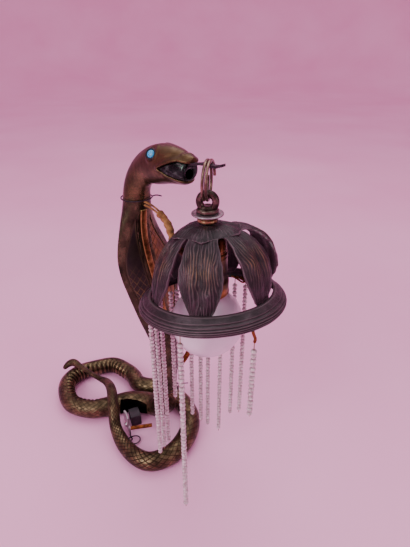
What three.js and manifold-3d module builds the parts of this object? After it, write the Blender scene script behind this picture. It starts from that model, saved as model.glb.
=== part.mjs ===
// Snake lamp: a cast brass cobra on its own coils holds a pierced metal lantern
// by a split ring on its tongue. Millimetres, +Z up, the snake faces -Y.
// Pieces are placed from a point on the table in line with the lamp's hanging axis.
import * as THREE from 'three';
import { mergeVertices } from 'three/addons/utils/BufferGeometryUtils.js';
import Module from 'manifold-3d';

const wasm = await Module();
wasm.setup();

// Clearance between pieces that touch
const seatGap = 0.3;

// Height where the upright body stands on the end of the coil
const bodyFoot = 66;

// Coiled base, each point is x, y, centre height, body radius
const tailRoute = [
  [-51.8, 164.6, 20.8, 1.4], [-50, 164.6, 22, 3.0], [-44, 163.6, 26, 4.6], [-38, 159, 28, 5.2],
  [-34, 142, 28.2, 3.4], [-30, 122, 28.6, 3.0], [-26, 106, 29.4, 3.6], [-23, 91, 31.5, 5.2],
  [-26, 74, 33.5, 6.2], [-35, 54, 31, 6.6], [-41, 42, 23, 6.8], [-45, 31, 14, 7.2], [-47, 11, 8.4, 8.6],
  [-45, -13, 9.2, 9.6], [-36, -29, 9.9, 10.4], [-17, -36, 10.5, 11], [3, -33, 10.8, 11.3],
  [22, -23, 11, 11.5], [35, -9, 11.2, 11.6], [40.5, 6, 11.2, 11.7], [42.3, 17, 11.2, 11.7],
  [42.6, 27.7, 11.2, 11.7],
];
const coilRoute = [
  [42.6, 28, 11.2, 11.7], [41.8, 40, 11.2, 11.7], [36, 58, 11, 11.5], [24, 71, 10.8, 11.3],
  [18, 84, 10.5, 11], [20, 99, 10.4, 10.9], [19, 114, 10.4, 10.9], [11, 138, 10.4, 10.9],
  [-10, 149, 10.4, 10.9], [-33, 155, 10.4, 10.9], [-52, 149, 10.4, 10.9], [-63, 133, 10.4, 10.9],
  [-67, 107, 10.6, 11.1], [-54, 84, 11, 11.5], [-39, 74, 11.6, 12.1], [-24, 67, 12.3, 12.7],
  [-9, 60, 12.8, 13], [4, 46, 14, 13.4], [11, 30, 17.5, 13.7], [13.5, 17, 27, 13.5],
  [14, 10.5, 41, 13.2], [14, 9, 54, 13.1], [14, 9, bodyFoot, 13.1],
];
const castingSides = 14;
const openingLength = 34;
const openingHeight = 13;
const castingWall = 2.6;
const openingPlace = 16.4;
const hollowPlaces = [15.3, 15.9, 16.5, 17.1, 17.6];

// Upright body and hood, by height: centre x, centre y, half width, front depth, back depth, lens
const neckJoint = 299;
const bodySections = [
  [bodyFoot, 14, 9, 13.1, 13.1, 13.1, 0], [90, 14.5, 8, 13.3, 13.3, 13.3, 0],
  [112, 14.2, 6.5, 13.8, 13.4, 13.4, 0], [131, 13.2, 5, 15.5, 12.4, 12.8, 0.2],
  [150, 11, 3.6, 19.4, 11, 12, 0.4], [170, 8, 2.6, 23.4, 9.6, 11.4, 0.7],
  [190, 5, 2, 26.6, 8.6, 11, 0.9], [210, 1.4, 1.4, 28.8, 8, 10.6, 1],
  [228, -2.6, 1.1, 29.4, 7.6, 10.4, 1], [244, -5.8, 1.1, 28, 7.6, 10.4, 1],
  [257, -8, 1.2, 24.6, 8, 10.4, 0.9], [268, -9.4, 1.4, 20.6, 8.8, 10.6, 0.7],
  [280, -9.8, 1.7, 16.6, 10, 11, 0.4], [290, -9.4, 1.9, 13.4, 11.2, 11.6, 0.15],
  [299, -8.6, 2, 12, 12, 12, 0],
];
const hoodPanelTop = 284;
const hoodPanelFoot = 168;
const hoodBorder = 4.6;
const throatChannel = 6.4;
const throatStripWidth = 6;
const throatStripTop = 291;
const throatStripFoot = 160;
const inlayDepth = 1.8;

// Head, each station is x, y, z, lean of the axis, half width, upper depth, lower depth
const headSections = [
  [-8.6, 2, 299.3, 0, 12, 12, 12], [-8.2, 2.3, 307, 4, 12, 12.2, 12],
  [-7.4, 1, 315, 18, 12.6, 13, 12], [-6.4, -3, 322, 38, 13.8, 14.5, 12.2],
  [-5.4, -9, 327.5, 58, 15.2, 15.8, 13], [-4.6, -17, 331, 74, 16.2, 16, 14.4],
  [-4.2, -27, 333, 82, 16.6, 15.4, 15], [-4, -38, 334.5, 86, 16, 14.2, 14.4],
  [-4, -49, 335.8, 86, 14.6, 13, 13], [-4, -58, 336.6, 86, 12.8, 11.6, 12.8],
  [-4, -66, 337, 86, 10.8, 9.8, 12], [-4, -72, 337.6, 86, 8.6, 7.8, 10.2],
  [-4, -76.4, 339.4, 86, 5.8, 5.2, 6.6], [-4, -78.6, 341, 86, 2.4, 2.4, 2.6],
];
const mouthCorner = [-27, 327.6];
const upperLip = [[-42, 332.6], [-58, 338], [-70, 341], [-90, 343.4]];
const lowerLip = [[-90, 327], [-72, 326.6], [-60, 325.4], [-46, 323.4], [-35, 324.4]];
const liningInset = 2.4;
const liningFront = -70;
const throatBore = 7.5;
const liningRidges = 5;
const tongueWidth = 4.8;
const tongueThickness = 1.8;
const tongueRoot = -54;
const tongueTip = -97;
const forkDepth = 6.5;

// Eyes
const eyeStation = 5.27;
const eyeRise = 6.85;
const eyeStoneDiameter = 5.6;
const eyeBezelDiameter = 7.6;
const eyeSocketDepth = 4.2;
const cheekHalfWidth = 14.2;

// Lamp axis and the ring that it hangs from
const lampY = -82;
const ringWire = 2;
const ringOutside = 29.5;
const ringTurns = 2;
const ringPitch = 2.45;
const ringTop = 345;
const ringTurn = 38.5;
const eyeLoopWire = 5;
const eyeLoopOutside = 17;

// Suspension stack and lampholder
const nippleDiameter = 10;
const nippleBore = 7;
const collarDiameter = 16.5;
const collarHeight = 4;
const washerDiameter = 24;
const washerThickness = 1.5;
const locknutWidth = 15.5;
const locknutHeight = 5;
const locknutSeat = 299.8;
const sheetThickness = 1.3;
const capShoulder = 277;
const bodyShoulder = 252;
const skirtFoot = 241;
const capDiameter = 30;
const holderDiameter = 34;
const holderWall = 1.2;

// Bulb, an A60 lamp with an E27 cap
const bulbDiameter = 60;
const bulbCentreZ = 211;
const bulbNeckDiameter = 24;
const bulbWall = 1;
const bulbCapDiameter = 26;
const bulbCapFoot = 259;
const bulbCapTop = 281;

// Pierced shade, hanging askew under the locknut
const shadeTiltX = -8;
const shadeTiltY = 1.9;
const petalAngles = [-136.5, -76.5, -20.5, 33, 87, 162.5];
const crownRadius = 23;
const petalHalfWidth = 16.2;
const petalRootHalfWidth = 11;
const petalTipHalfWidth = 5.5;
const petalSeam = 1.05;
const domeProfile = [
  [5.6, 0], [12, -0.4], [18, -2.2], [23.6, -5.6], [30, -12], [36, -20.5], [40.5, -30.5], [43.6, -41],
  [46.4, -52.5],
];
const rimTopZ = -50;
const rimFootRadius = 57.5;
const rimFootZ = -67;
const rimThickness = 1.8;
const rimRidge = 0.9;
const rimTopRadius = domeProfile.at(-1)[0] + rimThickness + 2 * seatGap;

// Bead strands: name, bearing on the rim, length and bead diameter
const beadDiameter = 4;
const strandWireDrop = 6;
const strandRing = 55.6;
const strandSides = 6;
const strands = [
  ['left_outer', 124.5, 190], ['left_middle', 114.5, 192], ['left_inner', 106, 191],
  ['middle_left', 92.5, 136], ['middle_right', 85.5, 136], ['front', -154.5, 188],
  ['rear_a', 71.5, 170], ['rear_b', 61.5, 183], ['rear_c', 53.5, 190], ['rear_d', 40.5, 200],
  ['right_a', 27.5, 170], ['right_b', 16.5, 164],
];
const hookBearing = -100.5;
const hookLength = 11;
const hookWire = 2.4;
const hookStrandLength = 62;

// Tie wires round the neck joint and the foot of the upright
const tieWireDiameter = 1.1;
const tieWireStart = -20;
const tieWireSweep = 345;
const tieWireSlope = 2.4;
const tieWireRise = 2.6;
const tieWireTwist = 4;
const neckTieZ = 303;
const footTieZ = bodyFoot - 4;

// Supply lead: two bare wires leave the throat, then tape binds them up to the lampholder
const throatWireDiameter = 1.8;
const throatWireSpread = 3;
const throatWireRoute = [
  [-9, -10.5, 296.6], [-9.2, -15, 297], [-9.4, -22, 296.8], [-9.8, -28, 296.2], [-10.2, -33.4, 295.2],
];
const cordDiameter = 6.4;
const cordSides = 8;
const cordRoute = [
  [-10.3, -34, 295.1], [-10.6, -37, 294.4], [-11.2, -42, 293], [-12.2, -47.5, 291], [-13.6, -52.5, 288.2],
  [-15.4, -57, 284.6], [-16.4, -60.6, 280.4], [-15.6, -64, 276.6], [-13.6, -67, 274.2], [-11.3, -69.4, 272.8],
];

// Hardware left in the coil: bracket, rod, screw, terminal block and a loop of wire
const bracketFoot = [-33, 22];
const bracketTurn = 73;
const bracketThickness = 1.4;
const bracketOutline = [
  [0, seatGap], [31, seatGap], [31, 13], [26, 13], [26, 19], [18, 19], [18, 25], [5, 25], [5, 14], [0, 14],
];
const screwDiameter = 6;
const screwPlace = [-32.2, 28, 16];
const rodDiameter = 4.6;
const rodEnds = [[-30.4, 23, 13.4], [18.2, -9.4, 13.4]];
const terminalBlockSize = [12, 15, 15];
const terminalBlockPlace = [-15.2, 38.9, 7.8];
const wireLoopDiameter = 1.4;
const wireLoopCentre = [-31, 12.6];
const wireLoopReach = [5.4, 5];

// Rusted outlet tube on the right of the upright
const outletDiameter = 6;
const outletRoute = [
  [28.6, 8, bodyFoot + 18], [36, 8, bodyFoot + 20], [42, 8, bodyFoot + 24], [48, 8, bodyFoot + 31],
];

const group = new THREE.Group();
const radians = THREE.MathUtils.degToRad;

// Metals and other finishes
const agedBrass = new THREE.MeshStandardMaterial({ color: '#6a5433', roughness: 0.45, metalness: 0.9 });
const wornBrass = new THREE.MeshStandardMaterial({ color: '#85592f', roughness: 0.5, metalness: 0.85 });
const darkEnamel = new THREE.MeshStandardMaterial({ color: '#2f251d', roughness: 0.4, metalness: 0.3 });
const brownEnamel = new THREE.MeshStandardMaterial({ color: '#7a4a28', roughness: 0.45, metalness: 0.3 });
const turquoise = new THREE.MeshStandardMaterial({ color: '#3aa8d8', roughness: 0.3, metalness: 0 });
const blackIron = new THREE.MeshStandardMaterial({ color: '#231f1f', roughness: 0.6, metalness: 0.6 });
const rustedSteel = new THREE.MeshStandardMaterial({ color: '#9a5a28', roughness: 0.8, metalness: 0.3 });
const zincSteel = new THREE.MeshStandardMaterial({ color: '#8c8a8c', roughness: 0.4, metalness: 0.9 });
const shadeBronze = new THREE.MeshStandardMaterial({ color: '#4a3c42', roughness: 0.6, metalness: 0.7 });
const frostedGlass = new THREE.MeshStandardMaterial({ color: '#e6dde6', roughness: 0.3, metalness: 0 });
const capAlloy = new THREE.MeshStandardMaterial({ color: '#b8b4ae', roughness: 0.35, metalness: 0.9 });
const porcelain = new THREE.MeshStandardMaterial({ color: '#ddd6c8', roughness: 0.3, metalness: 0 });
const clearBead = new THREE.MeshStandardMaterial({ color: '#d9c8cc', roughness: 0.15, metalness: 0 });
const tanCord = new THREE.MeshStandardMaterial({ color: '#9a7440', roughness: 0.8, metalness: 0 });
const greyLining = new THREE.MeshStandardMaterial({ color: '#4e5a50', roughness: 0.4, metalness: 0.6 });

// Solids and meshes
function toSolid(geometry) {
  const bare = geometry.clone();
  bare.deleteAttribute('normal');
  bare.deleteAttribute('uv');
  const merged = mergeVertices(bare, 1e-4);
  return new wasm.Manifold(new wasm.Mesh({
    numProp: 3,
    vertProperties: Float32Array.from(merged.attributes.position.array),
    triVerts: Uint32Array.from(merged.index.array),
  }));
}

function toGeometry(solid) {
  const mesh = solid.getMesh();
  const geometry = new THREE.BufferGeometry();
  geometry.setAttribute('position', new THREE.BufferAttribute(Float32Array.from(mesh.vertProperties), 3));
  geometry.setIndex(new THREE.BufferAttribute(Uint32Array.from(mesh.triVerts), 1));
  geometry.computeVertexNormals();
  return geometry;
}

function placed(geometry, x, y, z) {
  return geometry.clone().translate(x, y, z);
}

function addPiece(name, geometry, material, parent = group) {
  const mesh = new THREE.Mesh(geometry, material);
  mesh.name = name;
  parent.add(mesh);
  return mesh;
}

// Skin over a row of closed rings, closed at both ends
function loft(rings) {
  const sides = rings[0].length;
  const points = rings.flat();
  const indices = [];
  for (let i = 0; i < rings.length - 1; i += 1) {
    for (let j = 0; j < sides; j += 1) {
      const a = i * sides + j;
      const b = i * sides + (j + 1) % sides;
      indices.push(a, b, a + sides, b, b + sides, a + sides);
    }
  }
  const ends = [[rings[0], 0, true], [rings.at(-1), (rings.length - 1) * sides, false]];
  for (const [ring, first, reverse] of ends) {
    const centre = ring.reduce((sum, point) => sum.add(point), new THREE.Vector3()).divideScalar(sides);
    points.push(centre);
    for (let j = 0; j < sides; j += 1) {
      const a = first + j;
      const b = first + (j + 1) % sides;
      if (reverse) indices.push(b, a, points.length - 1);
      else indices.push(a, b, points.length - 1);
    }
  }
  const geometry = new THREE.BufferGeometry().setFromPoints(points);
  geometry.setIndex(indices);
  return geometry;
}

// Round turned piece about the Z axis, the profile is radius and height
function turned(profile, segments) {
  const points = profile.map(([r, z]) => new THREE.Vector2(r, z));
  return new THREE.LatheGeometry(points, segments).rotateX(Math.PI / 2);
}

// Straight prism of a flat outline
function prism(outline, depth) {
  const shape = new THREE.Shape(outline.map(([x, y]) => new THREE.Vector2(x, y)));
  return new THREE.ExtrudeGeometry(shape, { depth, bevelEnabled: false });
}

// Values between the rows of a table of stations, smooth through the rows
function smoothRow(rows, position) {
  const last = rows.length - 1;
  const i = Math.min(Math.max(Math.floor(position), 0), last - 1);
  const t = position - i;
  const [p0, p1, p2, p3] = [rows[Math.max(i - 1, 0)], rows[i], rows[i + 1], rows[Math.min(i + 2, last)]];
  return p1.map((value, k) => {
    const slopeIn = (p2[k] - p0[k]) / 2;
    const slopeOut = (p3[k] - value) / 2;
    const rise = p2[k] - value;
    const square = 3 * rise - 2 * slopeIn - slopeOut;
    const cube = slopeIn + slopeOut - 2 * rise;
    return value + t * (slopeIn + t * (square + t * cube));
  });
}

// Tapering round body along a route of x, y, z and radius
function taperedBody(route, sides, stepsPerPoint, shrink = 0) {
  const steps = (route.length - 1) * stepsPerPoint;
  const rows = Array.from({ length: steps + 1 }, (_, i) => smoothRow(route, i / stepsPerPoint));
  const centres = rows.map(([x, y, z]) => new THREE.Vector3(x, y, z));
  const up = new THREE.Vector3(0, 0, 1);
  let side = null;
  const rings = centres.map((centre, i) => {
    const before = centres[Math.max(i - 1, 0)];
    const after = centres[Math.min(i + 1, steps)];
    const along = after.clone().sub(before).normalize();
    if (!side) side = new THREE.Vector3().crossVectors(along, up).normalize();
    side = side.clone().addScaledVector(along, -side.dot(along)).normalize();
    const over = new THREE.Vector3().crossVectors(side, along);
    const radius = Math.max(rows[i][3] - shrink, 0.4);
    return Array.from({ length: sides }, (_, j) => {
      const angle = (2 * Math.PI * j) / sides;
      return centre.clone()
        .addScaledVector(side, radius * Math.cos(angle))
        .addScaledVector(over, -radius * Math.sin(angle));
    });
  });
  return loft(rings);
}

const tableCut = toSolid(placed(new THREE.BoxGeometry(600, 600, 60), 0, 0, -30));

// Tail, front loop and right side of the coil, filed flat where it stands
function tailCasting() {
  const body = toSolid(taperedBody(tailRoute, castingSides, 2));
  return toGeometry(body.subtract(tableCut));
}

// Rear link, left loop and the foot of the upright, hollow at its wiring opening
function coilCasting() {
  const body = toSolid(taperedBody(coilRoute, castingSides, 2));
  const hollowRoute = hollowPlaces.map((place) => smoothRow(coilRoute, place));
  const hollow = toSolid(taperedBody(hollowRoute, 10, 2, castingWall));
  const [x, y, z, r] = smoothRow(coilRoute, openingPlace);
  const mouth = new THREE.BoxGeometry(openingLength, r * 1.6, openingHeight);
  mouth.translate(0, -r * 0.8, 0).rotateZ(radians(-42)).translate(x, y, z - 2);
  return toGeometry(body.subtract(hollow).subtract(toSolid(mouth)).subtract(tableCut));
}

// Half sections of the upright body at any height
function bodySection(z) {
  let i = 0;
  while (i < bodySections.length - 2 && z > bodySections[i + 1][0]) i += 1;
  const t = (z - bodySections[i][0]) / (bodySections[i + 1][0] - bodySections[i][0]);
  return smoothRow(bodySections, i + t);
}

function bodySkin(grow, zFrom, zTo, steps, sides) {
  const rings = Array.from({ length: steps + 1 }, (_, i) => {
    const z = zFrom + ((zTo - zFrom) * i) / steps;
    const [, x, y, width, front, back, lens] = bodySection(z);
    return Array.from({ length: sides }, (__, j) => {
      const angle = (2 * Math.PI * j) / sides;
      const across = Math.cos(angle);
      const deep = Math.sign(Math.sin(angle)) * Math.abs(Math.sin(angle)) ** (1 + 0.55 * lens);
      const depth = deep < 0 ? front + grow : back + grow;
      return new THREE.Vector3(x + (width + grow) * across, y + depth * deep, z);
    });
  });
  return loft(rings);
}

// Leaf-shaped outline of a hood panel, seen from the front
function panelOutline(side) {
  const rows = 12;
  const inner = [];
  const outer = [];
  for (let i = 0; i <= rows; i += 1) {
    const z = hoodPanelFoot + ((hoodPanelTop - hoodPanelFoot) * i) / rows;
    const [, x, , width] = bodySection(z);
    const full = Math.sin((Math.PI * (i + 0.12)) / (rows + 0.24)) ** 0.45;
    const reach = (width - hoodBorder - throatChannel) * full;
    inner.push([x + side * throatChannel, z]);
    outer.push([x + side * (throatChannel + Math.max(reach, 1.6)), z]);
  }
  return [...inner, ...outer.reverse()];
}

// The same outline drawn in by an even margin
function drawnIn(outline, margin) {
  const area = THREE.ShapeUtils.area(outline.map(([x, y]) => ({ x, y })));
  const turn = Math.sign(area);
  return outline.map(([x, y], i) => {
    const [x0, y0] = outline.at(i - 1);
    const [x1, y1] = outline[(i + 1) % outline.length];
    const before = new THREE.Vector2(x - x0, y - y0).normalize();
    const after = new THREE.Vector2(x1 - x, y1 - y).normalize();
    const inward = new THREE.Vector2(-before.y - after.y, before.x + after.x);
    inward.multiplyScalar(turn).normalize();
    const acrossEdge = new THREE.Vector2(-after.y, after.x).multiplyScalar(turn);
    const miter = margin / Math.max(inward.dot(acrossEdge), 0.45);
    return [x + inward.x * miter, y + inward.y * miter];
  });
}

function frontPrism(outline) {
  return toSolid(prism(outline, 60)).rotate([90, 0, 0]);
}

function throatOutline(halfWidth, extra) {
  const rows = 10;
  const left = [];
  const right = [];
  for (let i = 0; i <= rows; i += 1) {
    const z = throatStripFoot - extra + ((throatStripTop - throatStripFoot + 2 * extra) * i) / rows;
    const [, x] = bodySection(z);
    left.push([x - halfWidth, z]);
    right.push([x + halfWidth, z]);
  }
  return [...left, ...right.reverse()];
}

const bodySteps = 26;
const bodySides = 20;
const bodySolid = toSolid(bodySkin(0, bodyFoot + seatGap, neckJoint - seatGap, bodySteps, bodySides));
const bodyCore = toSolid(bodySkin(-inlayDepth, bodyFoot - 2, neckJoint + 2, bodySteps, bodySides));
const inlayCore = toSolid(bodySkin(seatGap - inlayDepth, bodyFoot - 2, neckJoint + 2, bodySteps, bodySides));
const inlaySkin = toSolid(bodySkin(-0.5, bodyFoot - 2, neckJoint + 2, bodySteps, bodySides));
const stripSkin = toSolid(bodySkin(0.9, bodyFoot - 2, neckJoint + 2, bodySteps, bodySides));

// Upright body with its hood, recessed for two inlaid panels and a throat strip
function bodyCasting() {
  const recesses = [-1, 1].map((side) => frontPrism(panelOutline(side)));
  recesses.push(frontPrism(throatOutline(throatStripWidth / 2 + seatGap, seatGap)));
  const pockets = recesses.map((recess) => recess.subtract(bodyCore));
  return toGeometry(pockets.reduce((body, pocket) => body.subtract(pocket), bodySolid));
}

function hoodPanel(side) {
  const outline = frontPrism(drawnIn(panelOutline(side), seatGap));
  return toGeometry(outline.intersect(inlaySkin).subtract(inlayCore));
}

function throatStrip() {
  const outline = frontPrism(throatOutline(throatStripWidth / 2, 0));
  return toGeometry(outline.intersect(stripSkin).subtract(inlayCore));
}

// Head and neck skin, and the mouth that is cut out of it
function headSkin(shrink, sides, stepsPerPoint) {
  const steps = (headSections.length - 1) * stepsPerPoint;
  const rings = Array.from({ length: steps + 1 }, (_, i) => {
    const [x, y, z, lean, width, over, under] = smoothRow(headSections, i / stepsPerPoint);
    const tilt = radians(lean);
    const back = new THREE.Vector3(0, Math.cos(tilt), Math.sin(tilt));
    return Array.from({ length: sides }, (__, j) => {
      const angle = (2 * Math.PI * j) / sides;
      const depth = Math.sin(angle) > 0 ? over : under;
      const half = Math.max(width - shrink, 0.8) * Math.cos(angle);
      return new THREE.Vector3(x + half, y, z)
        .addScaledVector(back, Math.max(depth - shrink, 0.8) * Math.sin(angle));
    });
  });
  return loft(rings);
}

// Side outline, in y and z, as a prism across the head
function sidePrism(outline, width) {
  const geometry = prism(outline, width).rotateX(Math.PI / 2).rotateZ(Math.PI / 2);
  return toSolid(geometry.translate(-width / 2, 0, 0));
}

function mouthOutline(top, bottom) {
  const upper = upperLip.map(([y, z]) => [y, z - top]);
  const lower = lowerLip.map(([y, z]) => [y, z + bottom]);
  return [[mouthCorner[0] - top - bottom, mouthCorner[1]], ...upper, ...lower];
}

const headShell = toSolid(headSkin(0, 20, 1));

function headCasting() {
  const mouth = sidePrism(mouthOutline(0, 0), 60);
  const socket = eyeSocket(eyeBezelDiameter / 2 + seatGap, eyeSocketDepth);
  return toGeometry(headShell.subtract(mouth).subtract(socket(-1)).subtract(socket(1)));
}

// Ridged insert that lines the open mouth, with the bore for the wires
function mouthLining() {
  const inner = toSolid(headSkin(liningInset, 14, 1));
  const front = toSolid(placed(new THREE.BoxGeometry(60, 60, 60), 0, liningFront + 30, 330));
  let lining = inner.intersect(sidePrism(mouthOutline(3.4, seatGap), 60)).intersect(front);
  const bore = new THREE.CylinderGeometry(throatBore / 2, throatBore / 2, 40, 12);
  bore.translate(-4, liningFront, 331.2);
  lining = lining.subtract(toSolid(bore));
  for (let i = 0; i < liningRidges; i += 1) {
    const groove = new THREE.BoxGeometry(60, 1.2, 30);
    groove.rotateX(radians(22)).translate(-4, liningFront + 8 + i * 4.2, 333);
    const wall = toSolid(headSkin(liningInset + 0.9, 14, 1));
    lining = lining.subtract(toSolid(groove).subtract(wall));
  }
  return toGeometry(lining);
}

// Eyes sit square to the cheek
function eyeAxis(side) {
  return new THREE.Vector3(side, 0.04, 0.42).normalize();
}

function eyePlace(side) {
  const [x, y, z] = smoothRow(headSections, eyeStation);
  return new THREE.Vector3(x + side * cheekHalfWidth, y, z + eyeRise);
}

function eyeSocket(radius, depth) {
  return (side) => {
    const plug = new THREE.CylinderGeometry(radius, radius, depth, 20);
    return toSolid(alignedToEye(plug, side, 0));
  };
}

function alignedToEye(geometry, side, lift) {
  const turn = new THREE.Quaternion().setFromUnitVectors(new THREE.Vector3(0, 1, 0), eyeAxis(side));
  const place = eyePlace(side).addScaledVector(eyeAxis(side), lift);
  return geometry.applyQuaternion(turn).translate(place.x, place.y, place.z);
}

function eyeBezel(side) {
  const outer = eyeBezelDiameter / 2;
  const inner = eyeStoneDiameter / 2 + seatGap;
  const profile = [
    [0, -1.9], [outer, -1.9], [outer, 0.4], [outer - 0.5, 0.8], [inner, 0.7], [inner, -0.9], [0, -0.9],
  ];
  const points = profile.map(([r, z]) => new THREE.Vector2(r, z));
  return alignedToEye(new THREE.LatheGeometry(points, 20), side, 0.4);
}

function eyeStone(side) {
  const r = eyeStoneDiameter / 2;
  const profile = [[0, -0.6], [r, -0.6], [r, 0.2], [r * 0.86, 0.8], [r * 0.5, 1.35], [0, 1.55]];
  const points = profile.map(([radius, z]) => new THREE.Vector2(radius, z));
  return alignedToEye(new THREE.LatheGeometry(points, 16), side, 0.4);
}

// Split ring
const ringMean = (ringOutside - ringWire) / 2;
const ringInside = ringMean - ringWire / 2;
const ringCentreZ = ringTop - ringOutside / 2;
const ringBottomInside = ringCentreZ - ringInside;
const ringDirection = new THREE.Vector3(Math.cos(radians(ringTurn)), Math.sin(radians(ringTurn)), 0);
const ringAxis = new THREE.Vector3(-ringDirection.y, ringDirection.x, 0);

class SplitRingCurve extends THREE.Curve {
  getPoint(t, target = new THREE.Vector3()) {
    const angle = 2 * Math.PI * ringTurns * t;
    return target.set(0, 0, ringCentreZ)
      .addScaledVector(ringDirection, ringMean * Math.cos(angle))
      .addScaledVector(new THREE.Vector3(0, 0, 1), ringMean * Math.sin(angle))
      .addScaledVector(ringAxis, ringPitch * ringTurns * (t - 0.5))
      .add(new THREE.Vector3(0, lampY, 0));
  }
}

function roundSection(radius, sides) {
  const shape = new THREE.Shape();
  for (let j = 0; j < sides; j += 1) {
    const angle = (2 * Math.PI * (j + 0.5)) / sides;
    const point = [radius * Math.cos(angle), radius * Math.sin(angle)];
    if (j === 0) shape.moveTo(...point);
    else shape.lineTo(...point);
  }
  shape.closePath();
  return shape;
}

function wire(curve, diameter, sides, steps) {
  const section = roundSection(diameter / 2, sides);
  return new THREE.ExtrudeGeometry(section, { steps, extrudePath: curve, bevelEnabled: false });
}

function wireThrough(points, diameter, sides, stepsPerPoint) {
  const stops = points.map(([x, y, z]) => new THREE.Vector3(x, y, z));
  const curve = new THREE.CatmullRomCurve3(stops, false, 'centripetal');
  return wire(curve, diameter, sides, (points.length - 1) * stepsPerPoint);
}

// Tongue: a flat strip that leaves the roof of the mouth, with a forked tip
const tongueTop = ringCentreZ + Math.sqrt(ringInside ** 2 - (tongueWidth / 2 / ringDirection.x) ** 2) - 0.6;

function tongue() {
  const ridge = [
    [tongueRoot, 336.1], [-62, 338.4], [-70, 340.2], [-76, tongueTop - 0.4], [-80, tongueTop],
    [-88, tongueTop], [-93, tongueTop + 0.5], [tongueTip, tongueTop + 2.2],
  ];
  const side = [...ridge, ...ridge.map(([y, z]) => [y, z - tongueThickness]).reverse()];
  const half = tongueWidth / 2;
  const forkRoot = tongueTip + forkDepth;
  const rightEdge = [
    [half * 0.3, tongueTip - 1], [half * 1.05, tongueTip - 1], [half * 1.25, tongueTip + 1],
    [half, tongueTip + 8], [half, tongueRoot + 1],
  ];
  const leftEdge = rightEdge.map(([x, y]) => [-x, y]).reverse();
  const plan = [...leftEdge, [0, forkRoot], ...rightEdge];
  const planSolid = toSolid(placed(prism(plan, 60), 0, 0, 310));
  return toGeometry(sidePrism(side, 40).intersect(planSolid));
}

// Black wire that binds a joint of the castings, with one twisted end standing out
function tieWire(x, y, z, radius, standsOut) {
  const loopRadius = radius + seatGap + tieWireDiameter;
  const points = [];
  const steps = 14;
  for (let i = 0; i <= steps; i += 1) {
    const angle = radians(tieWireStart + (tieWireSweep * i) / steps);
    const drop = z - tieWireSlope * Math.cos(angle - radians(50)) + (tieWireRise * i) / steps;
    points.push([x + loopRadius * Math.cos(angle), y + loopRadius * Math.sin(angle), drop]);
  }
  const [endX, endY, endZ] = points.at(-1);
  const angle = radians(tieWireStart + tieWireSweep);
  for (const [reach, turn, drop] of [[tieWireTwist, 0.6, 0], [standsOut, 0.3, 1]]) {
    points.push([
      endX + reach * Math.cos(angle + turn), endY + reach * Math.sin(angle + turn), endZ - drop,
    ]);
  }
  return wireThrough(points, tieWireDiameter, 6, 1);
}

// Finial: a cast loop on a collar, threaded on the nipple
const eyeLoopMean = (eyeLoopOutside - eyeLoopWire) / 2;
const eyeHole = eyeLoopMean - eyeLoopWire / 2;
const eyeLoopZ = ringBottomInside + seatGap * 2 - Math.sqrt(eyeHole ** 2 - (ringPitch / 2) ** 2);
const washerFoot = locknutSeat + locknutHeight + seatGap;
const collarFoot = washerFoot + washerThickness + seatGap;
const nippleTop = collarFoot + collarHeight - 1;

// The shade hangs askew in the play between the locknut and the holder
const shadeLean = Math.sin(Math.hypot(radians(shadeTiltX), radians(shadeTiltY)));
const crownTop = locknutSeat - seatGap - (locknutWidth / 2) * shadeLean;
const capCollar = nippleDiameter / 2 + 2.7;
const holderTop = crownTop - sheetThickness - seatGap - (capCollar + 0.4) * shadeLean;

function eyeFinial() {
  const loop = new THREE.TorusGeometry(eyeLoopMean, eyeLoopWire / 2, 8, 20);
  loop.rotateX(Math.PI / 2).rotateZ(radians(ringTurn) - Math.PI / 2);
  const standing = loop.translate(0, lampY, eyeLoopZ);
  const r = collarDiameter / 2;
  const top = collarFoot + collarHeight;
  const collar = turned([
    [0, collarFoot], [r - 0.6, collarFoot], [r, collarFoot + 0.8], [r, collarFoot + 2.2],
    [r - 1.4, collarFoot + 3.2], [r - 3, top], [0, top],
  ], 24);
  const socketRadius = nippleDiameter / 2 + seatGap;
  const socket = new THREE.CylinderGeometry(socketRadius, socketRadius, 4, 24);
  socket.rotateX(Math.PI / 2).translate(0, lampY, nippleTop + seatGap - 2);
  const stem = new THREE.CylinderGeometry(3.6, 5, 3, 16).rotateX(Math.PI / 2).translate(0, lampY, top);
  const holeGuard = new THREE.CylinderGeometry(eyeHole, eyeHole, 12, 20);
  holeGuard.rotateZ(Math.PI / 2).rotateZ(radians(ringTurn)).translate(0, lampY, eyeLoopZ);
  const below = new THREE.BoxGeometry(40, 40, 20).translate(0, lampY, collarFoot - 10);
  const collarSolid = toSolid(placed(collar, 0, lampY, 0)).add(toSolid(stem)).subtract(toSolid(holeGuard));
  return toGeometry(collarSolid.add(toSolid(standing)).subtract(toSolid(socket)).subtract(toSolid(below)));
}

function drilled(geometry, diameter) {
  const drill = new THREE.CylinderGeometry(diameter / 2, diameter / 2, 200, 24).rotateX(Math.PI / 2);
  return toGeometry(toSolid(geometry).subtract(toSolid(drill.translate(0, lampY, 300))));
}

function washer() {
  const disc = new THREE.CylinderGeometry(washerDiameter / 2, washerDiameter / 2, washerThickness, 32);
  disc.rotateX(Math.PI / 2).translate(0, lampY, washerFoot + washerThickness / 2);
  return drilled(disc, nippleDiameter + 2 * seatGap);
}

function locknut() {
  const across = locknutWidth / 2;
  const nut = new THREE.CylinderGeometry(across, across, locknutHeight, 24);
  nut.rotateX(Math.PI / 2).translate(0, lampY, locknutSeat + locknutHeight / 2);
  return drilled(nut, nippleDiameter + 2 * seatGap);
}

function nipple() {
  const r = nippleDiameter / 2;
  const bore = nippleBore / 2;
  const foot = holderTop - 10;
  const tube = turned([[bore, foot], [r, foot], [r, nippleTop], [bore, nippleTop], [bore, foot]], 24);
  return placed(tube, 0, lampY, 0);
}

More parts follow.
